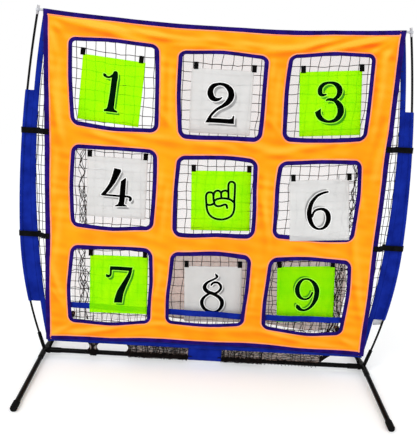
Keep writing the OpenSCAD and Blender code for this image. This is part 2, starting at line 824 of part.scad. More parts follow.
cross_tube(LEFT);  // cross_tube_left
cross_tube(RIGHT);  // cross_tube_right
cross_tube_joiner();
corner_bracket(LEFT);  // corner_bracket_left
corner_bracket(RIGHT);  // corner_bracket_right
leg(LEFT, FRONT);  // leg_front_left
leg(RIGHT, FRONT);  // leg_front_right
leg(LEFT, REAR);  // leg_rear_left
leg(RIGHT, REAR);  // leg_rear_right
foot_cap(LEFT, FRONT);  // foot_cap_front_left
foot_cap(RIGHT, FRONT);  // foot_cap_front_right
foot_cap(LEFT, REAR);  // foot_cap_rear_left
foot_cap(RIGHT, REAR);  // foot_cap_rear_right
pole_lower(LEFT);  // pole_lower_left
pole_lower(RIGHT);  // pole_lower_right
pole_middle(LEFT);  // pole_middle_left
pole_middle(RIGHT);  // pole_middle_right
pole_upper(LEFT);  // pole_upper_left
pole_upper(RIGHT);  // pole_upper_right
pole_ferrules(LEFT);  // pole_ferrules_left
pole_ferrules(RIGHT);  // pole_ferrules_right
pole_tip(LEFT);  // pole_tip_left
pole_tip(RIGHT);  // pole_tip_right
corner_loop(LEFT);  // corner_loop_left
corner_loop(RIGHT);  // corner_loop_right
main_net();
net_side_band(LEFT);  // net_side_band_left
net_side_band(RIGHT);  // net_side_band_right
net_top_band();
net_bottom_hem();
net_skirt();
centre_sleeve();
side_sleeve(LEFT);  // side_sleeve_left
side_sleeve(RIGHT);  // side_sleeve_right
pocket_net();
pocket_band();
target_banner();
banner_edge_binding();
opening_bindings();
banner_ties();
side_straps();
corner_straps();
for (n = [1:9]) {
    card(n);
    card_tabs(n);
}
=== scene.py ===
"""Looks of the pitching target net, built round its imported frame.

Lengths are in millimetres until a mesh is made. +X is right, -Y front, +Z up, and the origin is on
the floor in the middle.
"""
import json
import math

import bpy
import numpy as np
from mathutils import Matrix, Vector
from mathutils.geometry import delaunay_2d_cdt


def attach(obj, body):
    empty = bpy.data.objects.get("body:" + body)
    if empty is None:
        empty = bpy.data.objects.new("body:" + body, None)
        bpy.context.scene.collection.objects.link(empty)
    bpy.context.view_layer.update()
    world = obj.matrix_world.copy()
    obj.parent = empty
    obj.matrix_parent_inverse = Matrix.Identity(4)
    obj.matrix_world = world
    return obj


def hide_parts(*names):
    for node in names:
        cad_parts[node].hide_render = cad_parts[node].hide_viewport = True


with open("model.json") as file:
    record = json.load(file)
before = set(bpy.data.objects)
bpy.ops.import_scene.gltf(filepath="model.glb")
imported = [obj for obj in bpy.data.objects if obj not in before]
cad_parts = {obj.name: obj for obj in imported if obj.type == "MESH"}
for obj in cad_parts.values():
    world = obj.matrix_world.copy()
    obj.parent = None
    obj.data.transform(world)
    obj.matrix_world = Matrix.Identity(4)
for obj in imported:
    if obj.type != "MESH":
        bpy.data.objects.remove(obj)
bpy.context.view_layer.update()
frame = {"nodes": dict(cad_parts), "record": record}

MM = 0.001
SIDES = {"left": -1, "right": 1}
STAND = "stand"
CARDS = range(1, 10)

# ---- camera ----

CAMERA_PLACE = (-0.0472, -2.3829, 1.2468)
CAMERA_PITCH, CAMERA_YAW, CAMERA_ROLL = (math.radians(a) for a in (12.92, 0.65, 3.42))
CAMERA_LENS, CAMERA_SENSOR = 44.47, 36


def add_camera():
    data = bpy.data.cameras.new("camera")
    data.lens, data.sensor_width, data.sensor_fit = CAMERA_LENS, CAMERA_SENSOR, "AUTO"
    camera = bpy.data.objects.new("camera", data)
    bpy.context.collection.objects.link(camera)
    ahead = Vector((math.sin(CAMERA_YAW) * math.cos(CAMERA_PITCH),
                    math.cos(CAMERA_YAW) * math.cos(CAMERA_PITCH), -math.sin(CAMERA_PITCH)))
    level = Vector((math.cos(CAMERA_YAW), -math.sin(CAMERA_YAW), 0))
    upward = level.cross(ahead)
    right = level * math.cos(CAMERA_ROLL) + upward * math.sin(CAMERA_ROLL)
    upright = upward * math.cos(CAMERA_ROLL) - level * math.sin(CAMERA_ROLL)
    turn = Matrix((right, upright, -ahead)).transposed().to_4x4()
    camera.matrix_world = Matrix.Translation(CAMERA_PLACE) @ turn
    bpy.context.scene.camera = camera


add_camera()

# ---- materials ----

# Where a colour's two tones begin, as shares of its noise, and the width of paint's finest unevenness
TONE_ENDS, FINE_GRAIN = (0.35, 0.65), 10 / 7


def add_node(tree, kind, links=None, **values):
    """A node with its values set by socket name, and its inputs linked from other nodes' outputs."""
    node = tree.nodes.new(kind)
    if "data_type" in values:
        node.data_type = values.pop("data_type")
    sockets = {socket.name: socket for socket in node.inputs if socket.enabled}
    for name, value in values.items():
        if name in sockets:
            sockets[name].default_value = value
        else:
            setattr(node, name, value)
    for name, output in (links or {}).items():
        tree.links.new(output, sockets[name])
    return node


def noise(tree, place, size, detail):
    """Noise with patches about size millimetres wide."""
    links = {"Vector": place}
    return add_node(tree, "ShaderNodeTexNoise", links, Scale=1 / (size * MM), Detail=detail).outputs["Fac"]


def rgba(tone):
    """An opaque colour from its three parts, or from one number for a grey."""
    return (*np.broadcast_to(tone, 3).tolist(), 1)


def new_material(name, dark, light, grain, roughness, **sockets):
    """A Principled material whose colour drifts between two tones over patches about grain mm wide.

    Values that are the same all over go on the shader's own sockets.
    """
    made = bpy.data.materials.new(name)
    made.use_nodes = True
    tree = made.node_tree
    shader = tree.nodes["Principled BSDF"]
    shader.inputs["Roughness"].default_value = roughness
    for socket, value in sockets.items():
        shader.inputs[socket.replace("_", " ")].default_value = value
    place = add_node(tree, "ShaderNodeTexCoord").outputs["Object"]
    ramp = add_node(tree, "ShaderNodeValToRGB", {"Fac": noise(tree, place, grain, 5.0)})
    for element, position, colour in zip(ramp.color_ramp.elements, TONE_ENDS, (dark, light)):
        element.position, element.color = position, rgba(colour)
    tree.links.new(ramp.outputs["Color"], shader.inputs["Base Color"])
    return made, tree, shader, place


def bumped(tree, heights, depth, strength=1.0, over=None):
    """The normal of a surface raised by heights, on top of another such normal."""
    links = {"Height": heights}
    if over is not None:
        links["Normal"] = over
    return add_node(tree, "ShaderNodeBump", links, Distance=depth * MM, Strength=strength).outputs["Normal"]


def ribs(tree, place, direction, pitch, distortion=0.0):
    """Parallel ribs, pitch millimetres apart, numbered along X, Y or Z."""
    return add_node(tree, "ShaderNodeTexWave", {"Vector": place}, bands_direction=direction,
                    Scale=2 * math.pi / (20 * pitch * MM), Distortion=distortion).outputs["Fac"]


def cloth(name, dark, light, roughness, weave, grain, crumple=9.0, fold_shade_and_highlight=(), veil=None, gloss=0.04):
    """Woven cloth: two tones, a weave of crossing threads and a fine crumple.

    veil is the share of what lies behind that shows through thin cloth, and the tint that it takes.
    """
    made, tree, shader, place = new_material(name, dark, light, grain, roughness, Sheen_Weight=0.02,
                                             Sheen_Roughness=0.5, Specular_IOR_Level=gloss)
    base = shader.inputs["Base Color"]
    # Each tone mixed in here by the fold_height attribute is painted light: with a reach below zero it is
    # painted shade in the folds' hollows, and with a reach above zero it is a painted highlight on their
    # ridges
    for tone, reach in fold_shade_and_highlight:
        height = add_node(tree, "ShaderNodeAttribute", attribute_name="fold_height").outputs["Fac"]
        share = add_node(tree, "ShaderNodeMapRange", {"Value": height}, **{"From Max": reach})
        links = {"Factor": share.outputs["Result"], "A": base.links[0].from_socket}
        mixed = add_node(tree, "ShaderNodeMix", links, data_type="RGBA", B=rgba(tone))
        tree.links.new(mixed.outputs["Result"], base)
    threads = add_node(tree, "ShaderNodeMath", {}, operation="MULTIPLY")
    for socket, direction in zip(threads.inputs, "XZ"):
        tree.links.new(ribs(tree, place, direction, weave), socket)
    normal = bumped(tree, noise(tree, place, crumple, 3.0), 0.8, 0.5)
    tree.links.new(bumped(tree, threads.outputs["Value"], 0.15, 0.6, normal), shader.inputs["Normal"])
    if veil:
        share, tint = veil
        clear = add_node(tree, "ShaderNodeBsdfTransparent", Color=rgba(tint))
        mix = tree.nodes.new("ShaderNodeMixShader")
        mix.inputs["Fac"].default_value = share
        tree.links.new(shader.outputs["BSDF"], mix.inputs[1])
        tree.links.new(clear.outputs["BSDF"], mix.inputs[2])
        tree.links.new(mix.outputs["Shader"], tree.nodes["Material Output"].inputs["Surface"])
    return made


def hard(name, dark, light, roughness, grain, bump, metallic=0.0, gloss=0.2):
    """Paint, rubber, metal or plastic with a slightly uneven surface."""
    made, tree, shader, place = new_material(name, dark, light, grain, roughness, Metallic=metallic,
                                             Specular_IOR_Level=gloss)
    rough = add_node(tree, "ShaderNodeMapRange", {"Value": noise(tree, place, grain, 6.0)},
                     **{"To Min": roughness - 0.08, "To Max": roughness + 0.12})
    tree.links.new(rough.outputs["Result"], shader.inputs["Roughness"])
    fine = bumped(tree, noise(tree, place, FINE_GRAIN, 4.0), bump, 0.6)
    tree.links.new(fine, shader.inputs["Normal"])
    return made


def braid(name, dark, light, pitch=2.2):
    """Twisted or braided cord: ribs that run round it at a slant."""
    made, tree, shader, place = new_material(name, dark, light, 25, 0.85, Specular_IOR_Level=0.1)
    twist = ribs(tree, place, "DIAGONAL", pitch, 1.5)
    tree.links.new(bumped(tree, twist, 0.25, 0.8), shader.inputs["Normal"])
    return made


STEEL = hard("steel_black", 0.001, 0.003, 0.22, 60, 0.03, gloss=0.05)
FIBRE = hard("fibre_black", 0.002, 0.005, 0.3, 30, 0.05, gloss=0.08)
RUBBER = hard("rubber_black", 0.002, 0.005, 0.72, 20, 0.25, gloss=0.06)
METAL = hard("metal_grey", (0.42, 0.42, 0.44), (0.62, 0.62, 0.64), 0.36, 15, 0.03, metallic=1.0)
# The orange's fold tones are painted light: deeper red as painted shade in the folds' hollows, paler orange
# as a painted highlight on their ridges
ORANGE = cloth("orange", (0.98, 0.28, 0.0), (1.0, 0.335, 0.001), 0.6, 1.2, 150, gloss=0.1,
               fold_shade_and_highlight=(((0.90, 0.13, 0.0), -1.0), ((1.0, 0.44, 0.03), 1.0)))
NAVY = cloth("navy_blue", (0.007, 0.001, 0.075), (0.016, 0.004, 0.15), 0.7, 1.8, 40)
ROYAL = cloth("royal_blue", (0.002, 0.011, 0.19), (0.005, 0.021, 0.29), 0.7, 1.5, 60)
LIME = cloth("lime", (0.24, 0.95, 0.0), (0.36, 1.0, 0.0), 0.6, 1.1, 90, veil=(0.5, (0.85, 0.95, 0.05)))
WHITE = cloth("off_white", (0.72, 0.72, 0.715), (0.79, 0.79, 0.785), 0.6, 1.1, 90,
              veil=(0.45, (0.9, 0.9, 0.895)))
LIME_HALO = cloth("lime_pale", (0.30, 0.90, 0.03), (0.40, 0.95, 0.06), 0.55, 1.1, 90)
WHITE_HALO = cloth("white_pale", (0.80, 0.80, 0.795), (0.84, 0.84, 0.835), 0.55, 1.1, 90)
INK = cloth("ink_black", 0.0, 0.001, 0.6, 1.1, 40, gloss=0.0)
LIME_INK = cloth("ink_green_black", (0.0, 0.004, 0.001), (0.0, 0.01, 0.003), 0.6, 1.1, 40, gloss=0.0)
LIME_SHADE = cloth("ink_shade_lime", (0.03, 0.22, 0.004), (0.06, 0.32, 0.006), 0.55, 1.1, 40)
GREY_SHADE = cloth("ink_shade_grey", 0.22, 0.32, 0.55, 1.1, 40)
CORD = braid("cord_brown", (0.010, 0.005, 0.004), (0.030, 0.017, 0.014))
# A darker copy of the net's twine for the skirt's cords bunched round the cross tube: painted shade
SHADED_SKIRT_CORD = braid("cord_dark_shaded", (0.002, 0.001, 0.001), (0.009, 0.005, 0.004))
# A paler orange for the pucker beside the tapes: a painted highlight where the puckered cloth catches light
PUCKER_HIGHLIGHT = cloth("peach_pucker_highlight", (1.0, 0.27, 0.10), (1.0, 0.36, 0.17), 0.6, 1.2, 60)
GAUZE = cloth("gauze_tan", (0.36, 0.17, 0.11), (0.50, 0.28, 0.19), 0.8, 1.2, 20, veil=(0.3, 1))
SKIRT_GAUZE = cloth("gauze_brown", (0.07, 0.04, 0.03), (0.42, 0.28, 0.22), 0.8, 1.2, 12, veil=(0.2, 1))
PALE_GAUZE = cloth("gauze_pale", (0.50, 0.28, 0.22), (0.60, 0.36, 0.30), 0.8, 1.2, 20, veil=(0.75, 1))
WEBBING = cloth("strap_black", 0.001, 0.004, 0.8, 1.6, 30)
HOOKS = cloth("hook_tape_black", 0.001, 0.003, 0.9, 0.9, 12, crumple=2.5, gloss=0.05)
ELASTIC = cloth("elastic_grey", (0.42, 0.43, 0.46), (0.56, 0.57, 0.60), 0.75, 1.2, 20)
NAVY_THREAD = braid("thread_navy", (0.020, 0.012, 0.13), (0.035, 0.02, 0.2), 0.6)
ROYAL_THREAD = braid("thread_royal", (0.016, 0.035, 0.33), (0.025, 0.05, 0.45), 0.6)
BLACK_THREAD = braid("thread_black", 0.006, 0.015, 0.6)

# What pieces are made of: their materials, with stitches in the second, and their slot in the record
ORANGE_CLOTH = [ORANGE], "orange"
ROYAL_CLOTH = [ROYAL, ROYAL_THREAD], "royal_blue"
NAVY_TAPE = [NAVY, NAVY_THREAD, PUCKER_HIGHLIGHT], "navy_blue"
TWINE = [CORD], "cord_brown"
STRAP = [WEBBING, BLACK_THREAD], "strap_black"

# ---- meshes ----


class Shell:
    """Points and faces of one piece, gathered bit by bit. Each bit has a material of its own."""

    def __init__(self):
        self.points, self.faces, self.kinds, self.count = [], [], [], 0

    def add(self, points, faces, kind=0):
        points = np.asarray(points, float).reshape(-1, 3)
        self.points.append(points)
        self.faces.extend([tuple(int(i) + self.count for i in face) for face in faces])
        self.kinds.extend([kind] * len(faces))
        self.count += len(points)
        return self

    def piece(self, name, finish, *replaces, body=STAND, heights=None):
        """The mesh object, riding on its body and standing for the CAD nodes that it replaces."""
        materials, slot = finish
        mesh = bpy.data.meshes.new(name)
        mesh.from_pydata((np.concatenate(self.points) * MM).tolist(), [], self.faces)
        for material in materials:
            mesh.materials.append(material)
        mesh.polygons.foreach_set("material_index", self.kinds)
        mesh.polygons.foreach_set("use_smooth", [True] * len(self.faces))
        # heights go to the fold_height attribute, which places the painted shade and painted highlight of
        # the banner's folds
        if heights is not None:
            mesh.attributes.new("fold_height", "FLOAT", "POINT").data.foreach_set("value", heights)
        mesh.validate()
        made = bpy.data.objects.new(name, mesh)
        bpy.context.collection.objects.link(made)
        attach(made, body)
        if replaces:
            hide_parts(*replaces)
        return made


def joined(*parts):
    """Points whose coordinates are these, each a number or an array."""
    return np.stack(np.broadcast_arrays(*parts), -1).astype(float)


def loft(rings, loop=False):
    """Points and faces of the skin over rings (K, P, 3). Its two ends are closed unless it is a loop."""
    rings = np.asarray(rings, float)
    count, size = rings.shape[:2]
    k = np.arange(count if loop else count - 1)[:, None]
    p = np.arange(size)[None, :]
    ahead, beside = (k + 1) % count, (p + 1) % size
    quads = np.stack([k * size + p, k * size + beside, ahead * size + beside, ahead * size + p], -1)
    faces = quads.reshape(-1, 4).tolist()
    if not loop:
        faces += [list(range(size))[::-1], list(range((count - 1) * size, count * size))]
    return rings.reshape(-1, 3), faces


def directions(path):
    """Unit tangents of a path of points."""
    ahead = np.gradient(np.asarray(path, float), axis=0)
    return ahead / np.linalg.norm(ahead, axis=1, keepdims=True)


def sweep(path, across, out, profile):
    """Lofts a profile of (across, out) pairs along a path, or one profile for each of its points."""
    profile = np.asarray(profile, float)
    path, across, out = (np.broadcast_to(np.asarray(a, float), (len(path), 3))[:, None]
                         for a in (path, across, out))
    return loft(path + across * profile[..., :1] + out * profile[..., 1:])


def arc_points(centre, radius, start, end, count):
    """Points of an arc in a plane, from one angle in degrees to another."""
    turn = np.radians(np.linspace(start, end, count))
    return joined(centre[0] + radius * np.cos(turn), centre[1] + radius * np.sin(turn))


def add_cord(shell, path, radius, sides=5, hint=(0, 1, 0)):
    """A round cord along a path that never runs along hint."""
    ahead = directions(path)
    across = np.cross(ahead, hint)
    across /= np.linalg.norm(across, axis=1, keepdims=True)
    circle = arc_points((0, 0), radius, 0, 360 - 360 / sides, sides)
    shell.add(*sweep(path, across, np.cross(across, ahead), circle))


def blob_shape():
    """A small round knot: an octahedron with each face split in four."""
    points = list(np.array([(1, 0, 0), (0, 1, 0), (-1, 0, 0), (0, -1, 0), (0, 0, 1), (0, 0, -1)], float))
    faces, known = [], {}

    def middle(a, b):
        key = (min(a, b), max(a, b))
        if key not in known:
            known[key] = len(points)
            both = points[a] + points[b]
            points.append(both / np.linalg.norm(both))
        return known[key]

    for k in range(4):
        for a, b, c in ((k, (k + 1) % 4, 4), ((k + 1) % 4, k, 5)):
            ab, bc, ca = middle(a, b), middle(b, c), middle(c, a)
            faces += [(a, ab, ca), (ab, b, bc), (ca, bc, c), (ab, bc, ca)]
    return np.array(points), faces


BLOB_POINTS, BLOB_FACES = blob_shape()


def add_stitches(shell, path, out, pitch=5.0, length=3.4, radius=0.3, loop=False):
    """Stitches along a path, each a short thread that dips in at both ends. out points off the cloth."""
    path, out = np.asarray(path, float), np.asarray(out, float)
    if loop:
        path = np.vstack([path, path[:1]])
    along = np.concatenate([[0], np.cumsum(np.linalg.norm(np.diff(path, axis=0), axis=1))])
    starts = np.arange(pitch / 2, along[-1] - length, pitch)
    ends = [joined(*(np.interp(starts + share * length, along, line) for line in path.T))
            for share in (0, 0.5, 1)]
    for a, m, b in zip(*ends):
        across = np.cross((b - a) / np.linalg.norm(b - a), out) * radius
        lift = out * radius
        shell.add([a - lift, m + across, m + 1.4 * lift, m - across, b - lift],
                  [(0, 1, 2), (0, 2, 3), (4, 2, 1), (4, 3, 2), (0, 3, 4, 1)], kind=1)


def add_seams(shell, line, lift):
    """Stitches on both faces of flat cloth, lift millimetres off its middle line."""
    for out in (1, -1):
        add_stitches(shell, line - (0, out * lift, 0), (0, -out, 0))


def smooth_step(value, low, high):
    t = np.clip((np.asarray(value, float) - low) / (high - low), 0, 1)
    return t * t * (3 - 2 * t)


def waves(seed, length, *place, count=7):
    """Smooth pseudo-random waves in -1..1 over the coordinates of place, about length millimetres long."""
    rng = np.random.default_rng(seed)
    place = joined(*place)
    total = np.zeros(place.shape[:-1])
    for _ in range(count):
        ray = rng.normal(size=place.shape[-1])
        ray *= 2 * math.pi / (length * rng.uniform(0.7, 1.6)) / np.linalg.norm(ray)
        total += np.sin(place @ ray + rng.uniform(0, 2 * math.pi))
    return total / math.sqrt(count)


def arc_radius(half_chord, sagitta):
    return (half_chord ** 2 + sagitta ** 2) / (2 * sagitta)


# ---- the frame's own pieces keep their shapes ----

FRAME_FINISHES = {
    STEEL: ["cross_tube_joiner"] + [f"{kind}_{side}" for side in SIDES for kind in
                                    ("cross_tube", "corner_bracket", "leg_front", "leg_rear")],
    RUBBER: [f"foot_cap_{way}_{side}" for side in SIDES for way in ("front", "rear")],
    FIBRE: [f"pole_{part}_{side}" for side in SIDES for part in ("lower", "middle", "upper")],
    METAL: [f"pole_{part}_{side}" for side in SIDES for part in ("ferrules", "tip")],
}


def finish_frame():
    for material, nodes in FRAME_FINISHES.items():
        for node in nodes:
            for slot in frame["nodes"][node].material_slots:
                slot.material = material


# ---- lines that the cloth follows, as in the part's source ----

BASE_HALF, JOINT_Z, TUBE_R = 760, 28, 11
POLE_MOUTH, POLE_LEAN = (785.6, 114.3), math.radians(16.5)
POLE_WIDEST_Z, POLE_TOP_X, POLE_TOP_Z = 620, 771, 1568
TIP_R, TIP_LEN = 5.75, 36
NET_PITCH, CORD_R = 41, 0.9
# Radius of the net's twine where it fluffs out
TWINE_R = 1.4
NET_HALF, NET_BOW, NET_BOTTOM, NET_TOP = 725, 66, 85, 1555
BAND_W, NET_TOP_SAG, HEM_H = 24, 30, 28
SEWN_IN, ROW_Z0, ROW_COUNT, COLUMN_COUNT = 4, 117, 35, 19
ROW_SAGS = ((100, 550, 1000, 1430, 1555), (5, 20, 31, 52, 40))
ROW_SLOPES = ((100, 500, 1000, 1430), (0, 2.6, 2.1, 0))
ROW_Y, COLUMN_Y = -1.0, 1.0

NET_MID_Z = (NET_TOP + NET_BOTTOM) / 2
NET_EDGE_R = arc_radius((NET_TOP - NET_BOTTOM) / 2, NET_BOW)
LOWER_BOW_R = (POLE_WIDEST_Z - POLE_MOUTH[1]) / math.sin(POLE_LEAN)
POLE_WIDEST_X = POLE_MOUTH[0] + LOWER_BOW_R * (1 - math.cos(POLE_LEAN))
UPPER_BOW_R = arc_radius(POLE_TOP_Z - POLE_WIDEST_Z, POLE_WIDEST_X - POLE_TOP_X)


def net_edge_x(z):
    """Distance of the side bands' inner edge from the middle, at height z."""
    reach = np.sqrt(NET_EDGE_R ** 2 - (np.asarray(z, float) - NET_MID_Z) ** 2)
    return NET_HALF + NET_BOW - NET_EDGE_R + reach


def pole_x(z):
    """Distance of a pole's centre line from the middle, at height z."""
    z = np.asarray(z, float)
    bow = np.where(z < POLE_WIDEST_Z, LOWER_BOW_R, UPPER_BOW_R)
    return POLE_WIDEST_X - bow + np.sqrt(bow ** 2 - (z - POLE_WIDEST_Z) ** 2)


def row_z(row, x):
    """Height of the net's cord number row at x."""
    z = ROW_Z0 + NET_PITCH * np.asarray(row, float)
    half = net_edge_x(z) + SEWN_IN
    slope = np.tan(np.radians(np.interp(z, *ROW_SLOPES)))
    return z - np.interp(z, *ROW_SAGS) * (1 - (np.asarray(x, float) / half) ** 2) + x * slope


def net_top_z(x):
    """Height of the net's top edge, under its band, at x."""
    return NET_TOP - BAND_W - NET_TOP_SAG * (1 - (np.asarray(x, float) / NET_HALF) ** 2)


# ---- where the cards hang ----

CARD_W, CARD_H, CARD_T = 264, 270, 0.8
CARD_Y, CARD_DROP = -2.7, 22
TAB_W, TAB_HALF, TAB_LEAF, TAB_R, TAB_LAP = 20, 122, 0.8, 3.4, 5
TAB_COLUMN_GAP = 1.3
CARD_LEANS = {6: 7, 7: 5.2}
JOINTS = {joint["child"]: joint for joint in frame["record"]["behaviour"]["joints"]}


def card_frame(n):
    """The card's hinge point and its directions: along the cord, up the card, out of its front."""
    joint = JOINTS[f"card_{n}"]
    hinge = np.array(joint["pos_m"]) / MM
    along = -np.array(joint["axis"], float)
    tilt, lean = math.atan2(along[2], along[0]), math.radians(CARD_LEANS.get(n, 0))
    up = np.array([-math.sin(tilt) * math.cos(lean), math.sin(lean), math.cos(tilt) * math.cos(lean)])
    return hinge, along, up, np.cross(along, up)


def tab_places(n):
    """Where the two tabs grip the cord, measured from the hinge: each clear of the net's columns."""
    x = card_frame(n)[0][0]
    play = NET_PITCH / 2 - TAB_W / 2 - CORD_R - TAB_COLUMN_GAP
    places = []
    for wish in (-TAB_HALF, TAB_HALF):
        cell = (math.floor((x + wish) / NET_PITCH) + 0.5) * NET_PITCH - x
        places.append(cell + max(-play, min(play, wish - cell)))
    return places


# Where the straps hold the net at its sides, and how far from there its cords lie still and stray freely
STRAP_HOLD_X, STRAP_HOLD_HEIGHTS, STILL_NEAR, STRAY_FROM = 790, (609, 1064), 22, 70


def held_points():
    """(x, z) of every tab and strap, where the net's cords are held."""
    found = [(side * STRAP_HOLD_X, z) for side in SIDES.values() for z in STRAP_HOLD_HEIGHTS]
    for n in CARDS:
        hinge, along, _, _ = card_frame(n)
        found += [(hinge + along * place)[[0, 2]] for place in tab_places(n)]
    return np.array(found)


HELD = held_points()


def stillness(x, z):
    """0 at a tab or a strap, where the cords stay in line, and 1 from STRAY_FROM away."""
    nearest = np.min([np.hypot(x - a, z - b) for a, b in HELD], 0)
    return smooth_step(nearest, STILL_NEAR, STRAY_FROM)


# ---- banner ----

BANNER_W, BANNER_Z0, BANNER_H, BANNER_Y, BANNER_T = 1486, 97, 1456, -34, 1.2
BANNER_TOP_SAG, BANNER_BOTTOM_RISE = 30, 15
OPENING_W, OPENING_H = 344, 340
COLUMN_PITCH, ROW_PITCH, MIDDLE_ROW_Z = 450, 444, 820
MIDDLE_SAGS = (15, 5, -9)
EDGE_BINDING_W, OPENING_BINDING_W = 20, 17
# How much cloth a folded tape takes for its width, how far in from its edge it is sewn, and the length
# of tape round an opening
TAPE_CLOTH, TAPE_SEAM, OPENING_ROUND = 2.15, 3, 1330
# The pucker of cloth beside the tapes, pale with a painted highlight: its width, and its section as shares
# of half of that
WELT_W = 6.5
WELT_SECTION = ((-1, 0.1), (-0.5, 0.4), (0.5, 0.4), (1, 0.1), (0.5, -0.1), (-0.5, -0.1))
BANNER_CELL = 6.5
# Radius of the openings' corners as they hang
HUNG_R = 15
# How far an opening's edge stays from its card, and how far it hangs in where no card swings past
CARD_CLEARANCE, MOST_INWARD = 3.5, 22

# Where the binding's outer edge hangs round each opening, (x, z): top left, top, top right, right,
# bottom right, bottom, bottom left, left. The second table has the sides, in x and z, that these are on
HUNG_EDGES = (
    ((-640, 1448), (-457, 1453), (-268, 1438), (-259, 1273),
     (-258, 1083), (-450, 1073), (-622, 1097), (-641, 1279)),
    ((-183, 1420), (-2, 1431), (189, 1418), (189, 1272),
     (183, 1081), (22, 1064), (-169, 1082), (-186, 1236)),
    ((277, 1422), (453, 1453), (631, 1452), (634, 1284),
     (624, 1101), (494, 1080), (274, 1087), (266, 1262)),
    ((-625, 995), (-447, 1011), (-261, 985), (-256, 830),
     (-267, 650), (-439, 634), (-627, 651), (-635, 822)),
    ((-169, 982), (-5, 996), (175, 986), (181, 844),
     (181, 653), (17, 637), (-175, 650), (-180, 822)),
    ((272, 979), (438, 1004), (624, 1008), (637, 854),
     (628, 652), (476, 637), (267, 649), (264, 818)),
    ((-628, 547), (-452, 567), (-265, 550), (-254, 408),
     (-278, 207), (-445, 182), (-639, 192), (-648, 369)),
    ((-179, 545), (-8, 566), (180, 551), (182, 404),
     (168, 219), (14, 202), (-191, 212), (-196, 366)),
    ((263, 550), (448, 569), (632, 556), (644, 419),
     (628, 201), (477, 183), (255, 216), (249, 363)),
)
HUNG_SIDES = ((-1, 0, 1, 1, 1, 0, -1, -1), (1, 1, 1, 0, -1, -1, -1, 0))

# Folds of the banner: from (x, z) to (x, z), width, height
FOLDS = (
    (-725, 1535, -575, 1520, 12, 5), (-575, 1520, -395, 1490, 16, 7), (-675, 1530, -265, 1450, 18, 4),
    (-510, 1515, -265, 1480, 10, 4), (-375, 1510, -215, 1485, 10, 5), (-715, 1525, -635, 1450, 14, 4),
    (-720, 1510, -675, 1355, 14, 3.5), (-720, 1470, -690, 1150, 16, 3), (-675, 1355, -685, 1025, 14, 2.5),
    (-710, 1230, -660, 980, 14, 2.5), (-305, 1500, -40, 1485, 12, 4), (-225, 1465, -35, 1460, 12, 4.5),
    (-80, 1495, 155, 1450, 12, 3.5), (-35, 1450, 155, 1455, 8, 3), (65, 1485, 310, 1475, 12, 4),
    (155, 1455, 430, 1515, 14, 4.5), (310, 1480, 495, 1520, 10, 5), (495, 1485, 670, 1525, 12, 7),
    (395, 1455, 700, 1530, 14, 5), (605, 1450, 705, 1520, 12, 4), (670, 1425, 710, 1515, 14, 4),
    (675, 1470, 675, 1230, 14, 3), (675, 1310, 665, 1060, 14, 2.5), (725, 1190, 685, 885, 16, 2.5),
    (-250, 1425, -250, 1140, 12, 3), (-215, 1380, -215, 1095, 12, 2.5), (-255, 1175, -180, 1080, 12, 2.5),
    (205, 1425, 215, 1160, 12, 3), (235, 1365, 230, 1100, 12, 2.5), (205, 1160, 285, 1080, 10, 2.5),
    (-550, 1065, -335, 1030, 12, 3.5), (-420, 1080, -260, 1060, 10, 3), (-290, 1070, -75, 1045, 12, 3),
    (-120, 1060, 75, 1040, 12, 2.5), (95, 1060, 270, 1035, 12, 3), (190, 1025, 395, 1075, 12, 3.5),
    (350, 1060, 565, 1095, 12, 3), (525, 1070, 655, 1110, 12, 3), (-695, 980, -710, 670, 14, 2.5),
    (-675, 760, -705, 475, 14, 2.5), (-720, 485, -650, 295, 14, 3), (-715, 365, -650, 270, 10, 3),
    (-245, 940, -245, 720, 12, 2.5), (-215, 855, -230, 605, 12, 2.5), (225, 945, 230, 655, 12, 2.5),
    (205, 860, 260, 590, 12, 2.5), (-545, 565, -320, 555, 12, 3), (-365, 570, -185, 535, 12, 3),
    (-140, 565, 85, 550, 12, 3), (60, 570, 230, 530, 10, 2.5), (230, 530, 445, 580, 12, 3),
    (400, 560, 605, 555, 12, 2.5), (-225, 505, -245, 320, 12, 2.5), (215, 490, 215, 275, 12, 2.5),
    (585, 970, 675, 750, 14, 2.5), (635, 705, 695, 375, 14, 2.5), (625, 565, 740, 230, 14, 2.5),
    (-725, 125, -605, 190, 12, 3.5), (-725, 120, -445, 180, 12, 4), (-630, 120, -265, 230, 14, 4),
    (-400, 165, -80, 220, 12, 3), (-170, 205, 110, 165, 12, 3), (15, 200, 390, 170, 12, 2.5),
    (260, 180, 580, 150, 12, 2.5), (440, 145, 715, 130, 12, 2.5), (625, 185, 725, 130, 12, 3),
)


def opening_middle(number):
    row, column = divmod(number, 3)
    sag = MIDDLE_SAGS[row] if column == 1 else 0
    return (column - 1) * COLUMN_PITCH, MIDDLE_ROW_Z + (1 - row) * ROW_PITCH - sag


def card_room(number, side_x, side_z, x, z):
    """How far the opening's edge can hang in, sideways and up or down, beside its card."""
    n = number + 1
    if JOINTS[f"card_{n}"]["range_deg"][1] < 10:
        return MOST_INWARD, MOST_INWARD
    hinge, along, up, _ = card_frame(n)
    cx, cz = opening_middle(number)
    down = min(max((hinge[2] - z) / up[2], CARD_DROP), CARD_DROP + CARD_H)
    card_side = (hinge + side_x * CARD_W / 2 * along - down * up)[0]
    sideways = side_x * (cx + side_x * OPENING_W / 2 - card_side) - CARD_CLEARANCE
    if z > hinge[2] + 6:
        sideways = MOST_INWARD
    across = min(max(x - hinge[0], -CARD_W / 2), CARD_W / 2)
    limit = 5 * up if side_z > 0 else -(CARD_DROP + CARD_H) * up
    card_end = (hinge + across * along + limit)[2]
    upward = side_z * (cz + side_z * OPENING_H / 2 - card_end) - CARD_CLEARANCE
    if side_z < 0 and CARD_LEANS.get(n, 0) > 6:
        upward = MOST_INWARD
    return min(max(sideways, 0), MOST_INWARD), min(max(upward, 0), MOST_INWARD)


